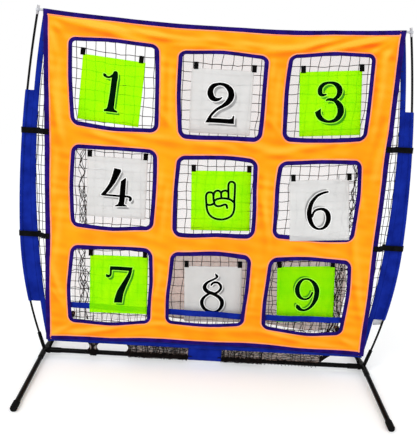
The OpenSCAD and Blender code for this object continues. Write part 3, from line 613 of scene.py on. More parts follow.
def hang_samples():
    """Places on the flat banner with how far each has moved as it hangs: sideways, and up."""
    sideways, upward = [], []
    half_w, half_h = OPENING_W / 2 + OPENING_BINDING_W, OPENING_H / 2 + OPENING_BINDING_W
    for number, outline in enumerate(HUNG_EDGES):
        cx, cz = opening_middle(number)
        for (x, z), side_x, side_z in zip(outline, *HUNG_SIDES):
            flat_x = cx + side_x * half_w if side_x else x
            flat_z = cz + side_z * half_h if side_z else z
            room_x, room_z = card_room(number, side_x, side_z, x, z)
            if side_x:
                sideways.append((flat_x, flat_z, -side_x * min(-side_x * (x - flat_x), room_x)))
            if side_z:
                upward.append((flat_x, flat_z, -side_z * min(-side_z * (z - flat_z), room_z)))
    half, top = BANNER_W / 2, BANNER_Z0 + BANNER_H
    sideways += [(side * half, z, 0.0) for z in np.linspace(BANNER_Z0, top, 13) for side in (-1, 1)]
    for x in np.linspace(-half, half, 13):
        bow = 1 - (x / half) ** 2
        upward += [(x, top, -BANNER_TOP_SAG * bow), (x, BANNER_Z0, BANNER_BOTTOM_RISE * bow)]
    return np.array(sideways), np.array(upward)


class ThinPlate:
    """The smoothest surface through samples (x, z, value)."""

    def __init__(self, samples, softness=4e3):
        self.knots = samples[:, :2]
        count = len(samples)
        flat = np.hstack([np.ones((count, 1)), self.knots])
        system = np.zeros((count + 3, count + 3))
        system[:count, :count] = self.kernel(self.knots) + softness * np.eye(count)
        system[:count, count:], system[count:, :count] = flat, flat.T
        self.weights = np.linalg.solve(system, np.concatenate([samples[:, 2], np.zeros(3)]))

    def kernel(self, places):
        square = ((places[:, None] - self.knots[None]) ** 2).sum(-1)
        return 0.5 * square * np.log(square + 1e-9)

    def __call__(self, x, z):
        x, z = np.broadcast_arrays(np.asarray(x, float), np.asarray(z, float))
        places = np.stack([x.ravel(), z.ravel()], -1)
        count = len(self.knots)
        value = self.kernel(places) @ self.weights[:count]
        value += np.hstack([np.ones((len(places), 1)), places]) @ self.weights[count:]
        return value.reshape(x.shape)


SIDEWAYS, UPWARD = (ThinPlate(samples) for samples in hang_samples())


def fold_heights(x, z):
    """Height of the banner's folds at (x, z): ridges are positive, and the hollow beside each is not."""
    x, z = np.asarray(x, float), np.asarray(z, float)
    total = np.zeros(np.broadcast(x, z).shape)
    for x0, z0, x1, z1, width, height in FOLDS:
        length = math.hypot(x1 - x0, z1 - z0)
        ahead = np.array([x1 - x0, z1 - z0]) / length
        along = (x - x0) * ahead[0] + (z - z0) * ahead[1]
        aside = (x - x0) * ahead[1] - (z - z0) * ahead[0]
        reach = smooth_step(along, -30, 40) * (1 - smooth_step(along, length - 90, length + 40))
        s = aside / width
        total += height * reach * (np.exp(-s * s) - 0.6 * np.exp(-((s - 1.7) ** 2)))
    return total


def banner_relief(x, z):
    """How far the banner stands in front of its plane at (x, z)."""
    raised = 1.1 * fold_heights(x, z) + 0.9 * waves(3, 170, x, z) + 0.5 * waves(4, 60, x, z)
    # Flat against the pocket and the cards that lean on it, and not far in front of card 6's edge
    calm = 1 - 0.55 * smooth_step(z, 420, 240)
    calm *= 1 - 0.7 * smooth_step(np.hypot(x - 460, z - 650), 260, 120)
    # Pushed back where card 6 passes in front of the cloth
    pushed = smooth_step(np.hypot((x - 454) / 150, (z - 668) / 34), 1.4, 0.95)
    return np.clip(raised * calm + 1.2, -1.2, 9) * (1 - pushed) - 3 * pushed


def on_banner(x, z, out=0.0):
    """The point of the hanging banner that was at (x, z) when it was flat, out mm off its middle."""
    return joined(x + SIDEWAYS(x, z), BANNER_Y - banner_relief(x, z) - out, z + UPWARD(x, z))


def from_opening(x, z, number):
    """Distance outside opening number, negative inside it."""
    cx, cz = opening_middle(number)
    qx = np.abs(x - cx) - (OPENING_W / 2 - HUNG_R)
    qz = np.abs(z - cz) - (OPENING_H / 2 - HUNG_R)
    return np.hypot(np.maximum(qx, 0), np.maximum(qz, 0)) + np.minimum(np.maximum(qx, qz), 0) - HUNG_R


def thicken(points, faces, out, thickness):
    """A sheet with two sides and a rim, from its middle surface and its directions out to the front."""
    count = len(points)
    faces = np.asarray(faces)
    front, back = points + out * thickness / 2, points - out * thickness / 2
    edges = np.concatenate([np.stack([faces[:, a], faces[:, (a + 1) % faces.shape[1]]], -1)
                            for a in range(faces.shape[1])])
    keys = {tuple(edge) for edge in edges.tolist()}
    rim = [(b, a, a + count, b + count) for a, b in keys if (b, a) not in keys]
    skin = faces.tolist() + (faces[:, ::-1] + count).tolist()
    return np.vstack([front, back]), skin + rim


def make_banner():
    half = BANNER_W / 2
    xs = np.linspace(-half + 2, half - 2, round(BANNER_W / BANNER_CELL))
    zs = np.linspace(BANNER_Z0 + 2, BANNER_Z0 + BANNER_H - 2, round(BANNER_H / BANNER_CELL))
    x, z = np.meshgrid(xs, zs)
    inside = np.min([from_opening(x, z, number) for number in range(9)], 0) > 2
    index = np.arange(x.size).reshape(x.shape)
    kept = inside[:-1, :-1] & inside[1:, :-1] & inside[:-1, 1:] & inside[1:, 1:]
    quads = np.stack([index[:-1, :-1], index[:-1, 1:], index[1:, 1:], index[1:, :-1]], -1)[kept]
    used, faces = np.unique(quads, return_inverse=True)
    x, z = x.ravel()[used], z.ravel()[used]
    slope_x = (banner_relief(x + 2, z) - banner_relief(x - 2, z)) / 4
    slope_z = (banner_relief(x, z + 2) - banner_relief(x, z - 2)) / 4
    out = joined(-slope_x, -1, -slope_z)
    out /= np.linalg.norm(out, axis=1, keepdims=True)
    skin, faces = thicken(on_banner(x, z), faces.reshape(-1, 4), out, BANNER_T)
    # Where the banner's painted shade and painted highlight fall: its fold heights, darker in the hollows
    # and paler on the ridges, with random streaks of tone added
    height = fold_heights(x, z) / 6 + 0.18 * waves(5, 110, x, 3 * z)
    banner = Shell().add(skin, faces).piece("banner", ORANGE_CLOTH, "target_banner",
                                            heights=np.concatenate([height, height]))


def folded_tape(width, gap, thickness, puff):
    """Section of a tape folded over an edge: (distance in from the fold, height off the middle)."""
    outer = [(width, gap + thickness * 0.7), (width * 0.93, gap + thickness + puff * 0.3),
             (width * 0.62, gap + thickness + puff), (width * 0.3, gap + thickness + puff * 0.9),
             (width * 0.08, gap + thickness * 0.8), (0, 0)]
    inner = [(thickness, 0), (width * 0.12 + thickness, gap * 0.8), (width * 0.6, gap), (width, gap)]
    return np.array([*outer, *[(a, -b) for a, b in outer[:-1][::-1]],
                     *[(a, -b) for a, b in inner[::-1]], *inner[1:]])


def round_rect_path(cx, cz, w, h, r, step=9.0):
    """Points round a round-cornered rectangle with their outward directions, counter-clockwise."""
    points, outward = [], []
    for turn, (sx, sz) in enumerate(((1, -1), (1, 1), (-1, 1), (-1, -1))):
        centre = np.array([cx + sx * (w / 2 - r), cz + sz * (h / 2 - r)])
        for angle in np.radians(np.linspace(-90, 0, 8) + 90 * turn):
            ray = np.array([math.cos(angle), math.sin(angle)])
            points.append(centre + r * ray)
            outward.append(ray)
        straight = (h if turn % 2 == 0 else w) - 2 * r
        ahead = np.array([-outward[-1][1], outward[-1][0]])
        for k in range(1, round(straight / step)):
            points.append(points[-1] + ahead * straight / round(straight / step))
            outward.append(outward[-1])
    return np.array(points), np.array(outward)


def add_edge_tape(shell, path, inward, width, puff, seed):
    """A tape folded over an edge of the banner, its stitches, and the pucker of cloth beside it, made pale
    as a painted highlight.

    inward points from the edge into the cloth.
    """
    section = folded_tape(width, 0.65, 0.75, puff)
    place = path[:, None] + inward[:, None] * section[:, :1]
    pucker = 1 + 0.22 * waves(seed, 45, *path.T)[:, None]
    shell.add(*loft(on_banner(place[..., 0], place[..., 1], section[:, 1] * pucker), loop=True))
    line = path + inward * (width - TAPE_SEAM)
    for out in (1, -1):
        add_stitches(shell, on_banner(*line.T, out * (1.5 + puff)), (0, -out, 0), loop=True)
    # The pucker beside the tape, in the tape's third material: its paler orange is a painted highlight
    section = WELT_W / 2 * np.array(WELT_SECTION)
    place = path[:, None] + inward[:, None] * (width + WELT_W / 2 - 0.6 + section[:, :1])
    shell.add(*loft(on_banner(place[..., 0], place[..., 1], 0.3 + section[:, 1]), loop=True), kind=2)


def make_bindings():
    """The tapes round the openings, and round the banner."""
    shell = Shell()
    for number in range(9):
        path, outward = round_rect_path(*opening_middle(number), OPENING_W, OPENING_H, HUNG_R)
        add_edge_tape(shell, path, outward, OPENING_BINDING_W, 0.7, 20 + number)
    tapes = shell.piece("opening_tapes", NAVY_TAPE, "opening_bindings")
    shell = Shell()
    path, outward = round_rect_path(0, BANNER_Z0 + BANNER_H / 2, BANNER_W, BANNER_H, 3)
    add_edge_tape(shell, path, -outward, EDGE_BINDING_W, 0.8, 31)
    rim = shell.piece("banner_edge_tape", NAVY_TAPE, "banner_edge_binding")


# ---- net ----

# How far the cords stray in their plane and out of it, and the size of a knot
NET_STRAY, NET_SWELL, KNOT_SIZE = 3.6, 0.35, (2.2, 2.0, 2.0)


def net_shift(seed, x, z):
    """How far a point of the net strays from its place in an even net."""
    return NET_STRAY * (0.8 * waves(seed, 230, x, z) + 0.5 * waves(seed + 1, 70, x, z)) * stillness(x, z)


def column_place(x, z):
    return joined(x + net_shift(40, x, z), COLUMN_Y + NET_SWELL * waves(45, 90, x, z) * stillness(x, z), z)


def row_place(row, x):
    z = row_z(row, x)
    return joined(x, ROW_Y - NET_SWELL * waves(46, 90, x, z) * stillness(x, z), z + net_shift(49, x, z))


def column_ends(x):
    """Heights between which the net's cord at x runs."""
    beyond = abs(x) - NET_HALF
    if beyond <= 0:
        return NET_BOTTOM + 1.2, float(net_top_z(x)) + SEWN_IN
    reach = math.sqrt(NET_EDGE_R ** 2 - (NET_EDGE_R - NET_BOW + beyond) ** 2) + SEWN_IN
    return NET_MID_Z - reach, NET_MID_Z + reach


def make_main_net():
    """Cords along rows and columns, with a knot at each crossing."""
    shell = Shell()
    for row in range(ROW_COUNT):
        half = net_edge_x(row_z(row, 0.0)) + SEWN_IN
        add_cord(shell, row_place(row, np.linspace(-half, half, int(half / 9))), TWINE_R, sides=6)
    for x in NET_PITCH * np.arange(-COLUMN_COUNT, COLUMN_COUNT + 1.0):
        low, high = column_ends(x)
        z = np.linspace(low, high, max(3, int((high - low) / 18)))
        add_cord(shell, column_place(x, z), TWINE_R, sides=6)
        for row in range(ROW_COUNT):
            cross = float(row_z(row, x))
            if low + 3 < cross < high - 3 and abs(x) < net_edge_x(cross):
                on_column, on_row = column_place(x, cross), row_place(row, x)
                middle = (on_column[0], (on_column[1] + on_row[1]) / 2, on_row[2])
                shell.add(BLOB_POINTS * KNOT_SIZE + middle, BLOB_FACES)
    shell.piece("net", TWINE, "main_net")


# Slack net behind the main net, in bays (left, right, spacing, highest row): more of it lies to the right
SLACK_BAYS = ((-690, -520, 60, 11), (240, 700, 38, 11), (520, 700, 45, 20))
SLACK_Y, SLACK_BOTTOM, GAUZE_Y = 5.6, NET_BOTTOM + 6, 14
# The openings behind which the finest slack hangs, how far it reaches past their edges, and the sizes
# of the rings that it is made of
GAUZES = {**dict.fromkeys((2, 3, 4, 5, 6), PALE_GAUZE), 8: GAUZE, 9: GAUZE, 7: PALE_GAUZE}
GAUZE_LAP, GAUZE_RINGS = 9, (1, 0.8, 0.6, 0.4, 0.2, 0.01)


def add_hanging_cord(shell, x, high, y, seed):
    """A slack cord that hangs from the net at (x, high)."""
    z = np.linspace(SLACK_BOTTOM, high, int((high - SLACK_BOTTOM) / 12) + 2)
    tied = smooth_step(high - z, 0, 60)
    aside = 8 * (waves(seed, 150, x, z) + 0.5 * waves(seed + 1, 55, x, z)) * tied
    depth = y + 1.2 * waves(seed + 2, 70, x, z) - (1 - tied) * (y - 2.6)
    add_cord(shell, joined(x + aside, depth, z), TWINE_R, sides=4)


def add_crossing_cord(shell, left, right, row, y, seed):
    """A slack cord that runs across the net beside its cord number row."""
    x = np.linspace(left, right, int((right - left) / 14) + 2)
    place = (x, NET_PITCH * row)
    z = row_z(row, x) + 7 * (waves(seed, 140, *place) + 0.5 * waves(seed + 1, 50, *place))
    depth = y + 1.2 * waves(seed + 2, 80, *place)
    add_cord(shell, joined(x, depth, np.maximum(z, SLACK_BOTTOM)), TWINE_R, sides=4)


def make_slack_net():
    """Folds of slack net that hang behind the net's lower part, and doubled cords along its sides."""
    shell = Shell()
    for bay, (left, right, spacing, top_row) in enumerate(SLACK_BAYS):
        y = SLACK_Y + 1.7 * bay
        for k, x in enumerate(np.arange(left + spacing / 2, right, spacing)):
            add_hanging_cord(shell, x, float(row_z(top_row, x)), y, 400 + 20 * bay + k % 6)
        for k, row in enumerate(np.arange(0.5, top_row, spacing / NET_PITCH * 1.3)):
            add_crossing_cord(shell, left + 4, right - 4, row, y - 0.9, 500 + 40 * bay + k)
    z = np.linspace(NET_BOTTOM + 70, NET_TOP - 60, 130)
    for side in SIDES.values():
        for k, inset in enumerate((4.5, 21)):
            x = net_edge_x(z) - inset
            still = stillness(side * x, z)
            add_cord(shell, joined(side * (x - 4 * waves(90 + k, 120, 50 * k, z) * still),
                                   4.4 + 1.2 * waves(95 + k, 110, 50 * k, z) * still, z), TWINE_R)
    shell.piece("net_slack", TWINE)


def make_gauze():
    """The finest part of the slack net, too fine to draw thread by thread: a thin see-through layer."""
    width, height = OPENING_W + 2 * GAUZE_LAP, OPENING_H + 2 * GAUZE_LAP
    for number, material in GAUZES.items():
        middle = np.array(opening_middle(number - 1))
        path, _ = round_rect_path(*middle, width, height, HUNG_R + GAUZE_LAP, 18)
        rings = [on_banner(*(middle + share * (path - middle)).T) for share in GAUZE_RINGS]
        for ring in rings:
            ring[:, 1] = GAUZE_Y + 1.5 * waves(152, 160, ring[:, 0], ring[:, 2])
        points, faces = loft(rings)
        gauze = Shell().add(points, faces[:-2]).piece(f"gauze_{number}", ([material], "cord_brown"))


# Where the slack is gathered into a rope of twine: (x, height of its lower and upper end)
GATHERS = ((-592, 655, 985), (-574, 650, 820), (-588, 250, 545), (-566, 190, 440), (617, 700, 1000),
           (606, 150, 550), (588, 120, 500), (571, 140, 380), (252, 170, 500))


def make_gathers():
    """Bunched twine, where the net's slack has been pulled together."""
    shell = Shell()
    for k, (x, low, high) in enumerate(GATHERS):
        z = np.linspace(low, high, int((high - low) / 5))
        spread = 4 + 5 * np.abs(waves(300 + k, 150, z)) + 6 * smooth_step(z, high - 60, high)
        for strand in range(4):
            turn = z / (17 + 3 * strand) + 1.6 * strand + k
            aside = spread * np.sin(turn) + 2.5 * waves(310 + strand, 45, 40 * strand, z)
            add_cord(shell, joined(x + aside, SLACK_Y + 3 + 2 * np.cos(turn), z), TWINE_R)
    shell.piece("net_gathers", TWINE)


# ---- bands, hem, skirt and pocket ----

# How much cloth a folded band takes for its width, and the length of a side band
BAND_CLOTH, SIDE_BAND_L = 2.1, 1478


def make_band(name, node, path, inward, length, seed, *place):
    """A tape folded over the net's edge along path, with its stitches; inward points into the net."""
    section = folded_tape(BAND_W, 0.5, 0.7, 0.5)
    pucker = 1 + 0.2 * waves(seed, 50, *place)[:, None]
    shell = Shell().add(*sweep(path, inward, (0, -1, 0), joined(section[:, 0], section[:, 1] * pucker)))
    add_seams(shell, path + np.asarray(inward) * (BAND_W - TAPE_SEAM), 1.65)
    band = shell.piece(name, ROYAL_CLOTH, node)


def make_side_band(name, side):
    z = np.linspace(NET_BOTTOM, NET_TOP, 150)
    x = net_edge_x(z)
    path = joined(side * (x + BAND_W), 0, z)
    inward = np.cross(directions(path), (0, side, 0))
    inward *= np.sign(-side * inward[:, :1])
    make_band(f"side_band_{name}", f"net_side_band_{name}", path, inward, SIDE_BAND_L, 101, x, z)


def make_top_band():
    half = NET_HALF + BAND_W * 0.7
    x = np.linspace(-half, half, 150)
    path = joined(x, 0, np.minimum(net_top_z(x) + BAND_W, NET_TOP))
    make_band("top_band", "net_top_band", path, (0, 0, -1), 2 * half, 103, x, 0)


POCKET_Y, POCKET_TOP, POCKET_BAND_H, POCKET_BAND_DROP, POCKET_END_W = -24, 288, 28, 13, 14
POCKET_HALF = NET_HALF + POCKET_END_W
# The hem's thickness, and the width of the cloth in it
HEM_T, HEM_CLOTH = 1.4, 83


def make_hem():
    """A channel of cloth that joins the bottom edges of the net and of the pocket's front."""
    front, back, low, high = POCKET_Y - 1.2, 1.2, NET_BOTTOM, NET_BOTTOM + HEM_H
    middle = (front + back) / 2
    section = np.array([
        (front, high), (front - 0.2, low + 6), (front + 2, low + 1), (middle, low),
        (back - 2, low + 1), (back + 0.2, low + 6), (back, high),
        (back - HEM_T, high), (back - HEM_T, low + 6), (back - 3, low + 2.5), (middle, low + HEM_T),
        (front + 3, low + 2.5), (front + HEM_T, low + 6), (front + HEM_T, high)])
    x = np.linspace(-NET_HALF, NET_HALF, 180)
    ripple = waves(111, 70, x, 0)[:, None] * ((section[:, 1] - low) / HEM_H)
    rings = joined(x[:, None], section[:, 0] + 0.5 * ripple, section[:, 1] + 0.8 * ripple)
    shell = Shell().add(*loft(rings))
    for y, out in ((front - 0.35, -1), (back + 0.35, 1)):
        add_stitches(shell, joined(x, y, high - 4), (0, out, 0))
    hem = shell.piece("hem", ROYAL_CLOTH, "net_bottom_hem")


def pocket_drop(x):
    """How far the pocket's mouth has sagged at x."""
    share = x / POCKET_HALF
    return POCKET_BAND_DROP * (1 - share ** 2) * (1 + 0.5 * share) + 1.2 * waves(121, 160, x, 0)


def make_pocket():
    """The net in front of the net's lower part, and the band along its mouth and down its ends."""
    shell = Shell()
    half, bottom = NET_HALF, NET_BOTTOM + HEM_H - SEWN_IN
    x = np.linspace(-half - 3, half + 3, 150)
    for k, z in enumerate(np.arange(ROW_Z0 + 2, POCKET_TOP - POCKET_BAND_H - 6, NET_PITCH * 0.75)):
        share = (z - bottom) / (POCKET_TOP - bottom)
        add_cord(shell, joined(x, POCKET_Y - 2 + 0.7 * waves(122 + k, 60, x, 0),
                               z - share * pocket_drop(x) + 3 * waves(132 + k, 110, x, 0)), CORD_R, sides=6)
    for k, x in enumerate(np.arange(-half + 10, half - 9, NET_PITCH * 0.62)):
        z = np.linspace(bottom, POCKET_TOP - POCKET_BAND_H + SEWN_IN - float(pocket_drop(x)), 12)
        path = joined(x + 4.5 * waves(142 + k % 6, 90, x, z), POCKET_Y - 0.2, z)
        add_cord(shell, path, CORD_R, sides=6)
    shell.piece("pocket_cords", TWINE, "pocket_net")

    shell = Shell()
    x = np.linspace(-POCKET_HALF, POCKET_HALF, 170)
    path = joined(x, POCKET_Y, POCKET_TOP - pocket_drop(x))
    shell.add(*sweep(path, (0, 0, -1), (0, -1, 0), folded_tape(POCKET_BAND_H, 0.4, 0.7, 0.3)))
    add_stitches(shell, path - (0, 1.45, POCKET_BAND_H - TAPE_SEAM), (0, -1, 0))
    z = np.linspace(NET_BOTTOM, POCKET_TOP - 3, 26)[:, None]
    wide = POCKET_END_W
    section = np.array([(0, -1.2), (wide * 0.85, -1.2), (wide, -0.3), (wide, 20.5), (wide - 1.4, 20.5),
                        (wide - 1.4, 1.0), (wide * 0.8, 0.1), (0, 0.1)])
    for side in SIDES.values():
        rings = joined(side * (NET_HALF + section[:, 0]), POCKET_Y + section[:, 1], z)
        shell.add(*loft(rings[:, ::-side]))
    shell.piece("pocket_mouth", ROYAL_CLOTH, "pocket_band")


WRAP_R = TUBE_R + 0.5
CENTRE_SLEEVE_W, CENTRE_SLEEVE_T, CENTRE_SLEEVE_CLOTH = 156, 1.0, 130
SKIRT_SPANS = ((-545, -512), (-362, -79), (79, 545))


def make_centre_sleeve():
    """Cloth round the cross tube and up to the hem."""
    radius, climb = WRAP_R + CENTRE_SLEEVE_T, np.linspace(4, NET_BOTTOM + 0.5 - JOINT_Z, 9)
    section = np.vstack([arc_points((0, 0), radius, 184, 184 + 31 / 32 * 360, 32),
                         joined(-WRAP_R, climb), joined(-radius, climb[::-1])])
    x = np.linspace(-CENTRE_SLEEVE_W / 2, CENTRE_SLEEVE_W / 2, 40)[:, None]
    ripple = waves(151, 34, x, section[:, 1] * 1.5) * 0.5
    reach = np.clip(np.linalg.norm(section, axis=1), 1, None)
    shell = Shell().add(*loft(joined(x, section[:, 0] - 0.6 * np.abs(ripple),
                                     JOINT_Z + section[:, 1] * (1 + 0.03 * ripple * WRAP_R / reach))))
    for end in (-1, 1):
        seam = joined(end * (CENTRE_SLEEVE_W / 2 - 4), -radius - 0.9, JOINT_Z + climb)
        add_stitches(shell, seam, (0, -1, 0))
    sleeve = shell.piece("tube_sleeve", ROYAL_CLOTH, "centre_sleeve")


def add_skirt_wrap(shell, x, rng, knot):
    """One cord of the skirt: round the cross tube, and for some of them up to the hem."""
    shift = rng.uniform(-1, 1, 5)
    layer = WRAP_R + TWINE_R + 3.2 * abs(shift[4])
    turn = arc_points((0, JOINT_Z), layer, 184, 184 - 352, 20)
    ring = joined(x + 5 * shift[3] * np.sin(np.linspace(0, math.pi, 20)), *turn.T)
    climb = np.linspace(NET_BOTTOM + 1, JOINT_Z + 5, 9)
    share = (climb - JOINT_Z) / (NET_BOTTOM - JOINT_Z)
    if knot is None:
        aside = 9 * shift[0] * np.sin(share * math.pi)
    else:
        aside = (x - knot) * (0.8 - 1.5 * np.sin(share * math.pi))
    rise = joined(x + aside + 3 * shift[1] * np.sin(9 * share),
                  -layer - 1.5 * np.abs(np.sin(7 * share + 3 * shift[2])), climb)
    if knot is None and abs(shift[0]) < 0.45:
        rise = rise[-3:]
    add_cord(shell, np.vstack([rise, ring]), TWINE_R, hint=(1, 0.02, 0.03))


# How far the skirt spreads at its ends along the hem and the tube, how far the right end reaches along
# the hem, where the wraps thin out, and the widest span that is one knot
SKIRT_FLARE, SKIRT_REACH, SKIRT_LOOSE, SKIRT_KNOT = 20, 62, 270, 50


def make_skirt():
    """Net gathered along the hem, with its loops drawn tight round the cross tube."""
    shell, veil = Shell(), Shell()
    rng = np.random.default_rng(12)
    climb, share = np.linspace(JOINT_Z + 9, NET_BOTTOM + 1, 12), np.linspace(0, 1, 12)
    for start, end in SKIRT_SPANS:
        knot = (start + end) / 2 if end - start < SKIRT_KNOT else None
        for k, x in enumerate(np.arange(start + 2, end - 1, 3.2 if knot is None else 1.5)):
            if x < SKIRT_LOOSE or k % 5 == 0:
                add_skirt_wrap(shell, x, rng, knot)
        x = np.arange(start, end + 1, 5.0)
        for k, height in enumerate(np.linspace(45, 80, 5) if knot is None else ()):
            add_cord(shell, joined(x, -WRAP_R - 4 - 0.8 * waves(900 + k, 30, x, 0),
                                   np.minimum(height + 4 * waves(910 + k, 42, x, 0), NET_BOTTOM)), TWINE_R)
        corners = ((start, JOINT_Z), (end, JOINT_Z), (end, NET_BOTTOM), (start, NET_BOTTOM))
        veil.add([(x, -5, z) for x, z in corners], [(0, 1, 2, 3)])
    for edge, outward in zip(sum(SKIRT_SPANS, ()), (-1, 1) * len(SKIRT_SPANS)):
        last = edge == SKIRT_SPANS[-1][1]
        spread = share ** 1.4 if last else (2 * share - 1) ** 2
        for reach in np.linspace(0, SKIRT_REACH if last else SKIRT_FLARE, 14 if last else 8):
            path = joined(edge + outward * reach * spread, np.linspace(-WRAP_R - 1, -4, 12), climb)
            add_cord(shell, path, TWINE_R)
    # The skirt's cords take the darker copy of the twine, painted shade of the bunch round the tube
    shell.piece("net_skirt_cords", ([SHADED_SKIRT_CORD], "cord_brown"), "net_skirt")
    gauze = veil.piece("gauze_skirt", ([SKIRT_GAUZE], "cord_brown"))


# ---- sleeves, straps and loops ----

SLEEVE_Z0, SLEEVE_Z1, SLEEVE_R = 272, 1226, 8.2
# Heights near which the side straps go round the poles
STRAP_HEIGHTS = (602, 1058)
STRAP_W, STRAP_T, STRAP_LAP, STRAP_INSET, STRAP_CLEAR = 25, 1.6, 20, 12, 1.6


def make_side_sleeve(name, side):
    """A tunnel round the pole and a two-ply web to the side band."""
    z = np.linspace(SLEEVE_Z0, SLEEVE_Z1, 190)
    line = joined(side * (pole_x(z) - SLEEVE_R - 2.5), 0, z)[2:-2]
    z = z[:, None]
    arc, steps = np.radians(np.linspace(170, -170, 25)), np.linspace(0, 1, 8)[1:]
    calm = np.min([smooth_step(np.abs(z - h), 16, 45) for h in STRAP_HEIGHTS], 0)
    swell = 0.35 * np.sin(z / 37) + 0.2 * np.sin(z / 13)
    sway = 1.1 * calm * np.sin(steps * math.pi) * np.sin(z / 61 + 2.1 * steps + side)
    web = -SLEEVE_R - steps * (pole_x(z) - net_edge_x(z) - BAND_W + 1.5 - SLEEVE_R)
    across = np.hstack([web[:, ::-1], SLEEVE_R * np.cos(arc) + 0 * z, web])
    depth = np.hstack([1 + sway[:, ::-1], (SLEEVE_R + 0.5 * swell * calm) * np.sin(arc), sway - 1])
    rings = joined(side * (pole_x(z) + across), depth, z)
    shell = Shell().add(*loft(rings[:, ::-side]))
    add_seams(shell, line, 1.45)
    sleeve = shell.piece(f"pole_sleeve_{name}", ROYAL_CLOTH, f"side_sleeve_{name}")


def strap_section(width, thickness):
    """Section of a strap with worn edges, as (across, out) pairs."""
    w, t = width / 2, thickness / 2
    front = [(-w, -0.5 * t), (-w + 0.5, -t), (0, -t), (w - 0.5, -t), (w, -0.5 * t)]
    return np.array(front + [(a, -b) for a, b in front[::-1]])


def add_flat_strap(shell, line, z, width, side):
    """A strap on edge: it follows line (x, y), drawn for the right side, at height z."""
    line = np.asarray(line, float)
    path = joined(side * line[:, 0], line[:, 1], z)
    out = np.cross(directions(path), (0, 0, side))
    shell.add(*sweep(path, (0, 0, 1), out, strap_section(width, STRAP_T)[::-side]))


def cell_height(x, z):
    """Height half way between the two rows of cords that run below and above (x, z)."""
    rows = row_z(np.arange(ROW_COUNT), x)
    above = int(np.argmax(rows >= z))
    return (rows[above - 1] + rows[above]) / 2


def add_side_strap(shell, side, wish):
    """A strap from the banner's edge through the net and round the pole, near the height wish."""
    z = float(cell_height(side * (net_edge_x(wish) - STRAP_INSET), wish))
    radius = SLEEVE_R + STRAP_CLEAR + STRAP_T / 2
    x0, x1 = float(net_edge_x(z)) - STRAP_INSET + SLEEVE_R + STRAP_CLEAR, float(pole_x(z))
    lap, end = BANNER_W / 2 + 4, BANNER_W / 2 - STRAP_LAP
    lifted = BANNER_Y - 3 - STRAP_T / 2
    tongue = [(end, lifted - 0.4), (end + 6, lifted - 0.6), (lap - 6, lifted - 0.3), (lap, lifted + 0.6)]
    share = np.linspace(0.12, 0.9, 7)[:, None]
    start = np.array(tongue[-1])
    slack = start + ((x0 - 4, -radius) - start) * share + (0, 0.8) * np.sin(math.pi * share)
    add_flat_strap(shell, np.vstack([
        tongue, slack, [(x0 - 1, -radius)], joined(np.linspace(x0 + 4, x1 - 3, 7), -radius),
        arc_points((x1, 0), radius, -90, 90, 15), joined(np.linspace(x1 - 4, x0 + 4, 7), radius),
        arc_points((x0, 0), radius, 90, 250, 13)]), z, STRAP_W, side)
    a, b, c, d = ((side * x, lifted - STRAP_T / 2 - 0.65, h)
                  for x, h in ((end + 3, z - 9), (end + 3, z + 9), (lap - 8, z + 9), (lap - 8, z - 9)))
    for thread in ((a, b), (b, c), (c, d), (d, a), (a, c), (b, d)):
        add_stitches(shell, thread, (0, -1, 0), pitch=3.2, length=2.4)


def make_straps():
    shell = Shell()
    for side in SIDES.values():
        for wish in STRAP_HEIGHTS:
            add_side_strap(shell, side, wish)
    shell.piece("straps", STRAP, "side_straps")


CORNER_STRAP_W, CORNER_STRAP_PLAY, SOCKET_R, BRACKET_GAP = 13, 0.6, 12.8, 1.6
CORNER_BEND_Z, CORNER_SEWN = JOINT_Z + 8, 14


def make_corner_straps():
    """Webbing from the back of the hem, down and round the cross tube's socket."""
    shell = Shell()
    low_x = BASE_HALF - SOCKET_R - BRACKET_GAP - CORNER_STRAP_W / 2
    high_x = (math.floor(NET_HALF / NET_PITCH) + 0.5) * NET_PITCH
    inner, back = SOCKET_R + CORNER_STRAP_PLAY, 1.2
    drop, outer = NET_BOTTOM - JOINT_Z, back + STRAP_T / 2
    leave = math.degrees(math.atan2(drop, back) - math.acos(inner / math.hypot(back, drop)))
    ring = arc_points((0, JOINT_Z), inner + STRAP_T / 2, leave, leave - 335, 40)
    rise = np.array([(outer, NET_BOTTOM + CORNER_SEWN), (outer, NET_BOTTOM + 7),
                     (outer + 0.1, NET_BOTTOM + 1)])
    climb = rise[-1] + (ring[0] - rise[-1]) * np.linspace(0.12, 0.92, 7)[:, None]
    y, z = np.vstack([rise, climb, ring]).T
    x = np.interp(z, (CORNER_BEND_Z, NET_BOTTOM), (low_x, high_x))
    w = CORNER_STRAP_W / 2 - 1.5
    for side in SIDES.values():
        out = np.cross(directions(joined(0, y, z)), (side, 0, 0))
        section = strap_section(CORNER_STRAP_W, STRAP_T)[::-1]
        shell.add(*sweep(joined(side * x, y, z), (side, 0, 0), out, section))
        for height in (3, 11):
            thread = [(side * high_x + a, back + STRAP_T, NET_BOTTOM + height) for a in (-w, w)]
            add_stitches(shell, thread, (0, 1, 0), pitch=3, length=2.3)
    shell.piece("hold_down_straps", STRAP, "corner_straps")


# How far the elastic reaches below the sleeve's edge and above it
ELASTIC_BELOW, ELASTIC_ABOVE = 30, 12


def make_sleeve_elastic():
    """Elastic tape that shows below the right sleeve's hem, flat against its web."""
    x = np.linspace(float(net_edge_x(SLEEVE_Z0)) + BAND_W + 1, float(pole_x(SLEEVE_Z0)) - SLEEVE_R + 2, 12)
    low, high = SLEEVE_Z0 - ELASTIC_BELOW, SLEEVE_Z0 + ELASTIC_ABOVE
    slant = 5 * ((x - x[0]) / (x[-1] - x[0]))[:, None]
    depth, up = np.array([(-0.6, 0), (0.6, 0), (0.7, 0.5), (0.6, 1), (-0.6, 1), (-0.7, 0.5)]).T
    shell = Shell().add(*loft(joined(x[:, None], 3 + depth, low + slant + (high - low - slant) * up)))
    for height in (4, 9):
        add_stitches(shell, [(edge, 2.3, SLEEVE_Z0 + height) for edge in (x[0] + 2, x[-1] - 2)], (0, -1, 0))
    tape = shell.piece("sleeve_elastic", ([ELASTIC, ROYAL_THREAD], "elastic_grey"))


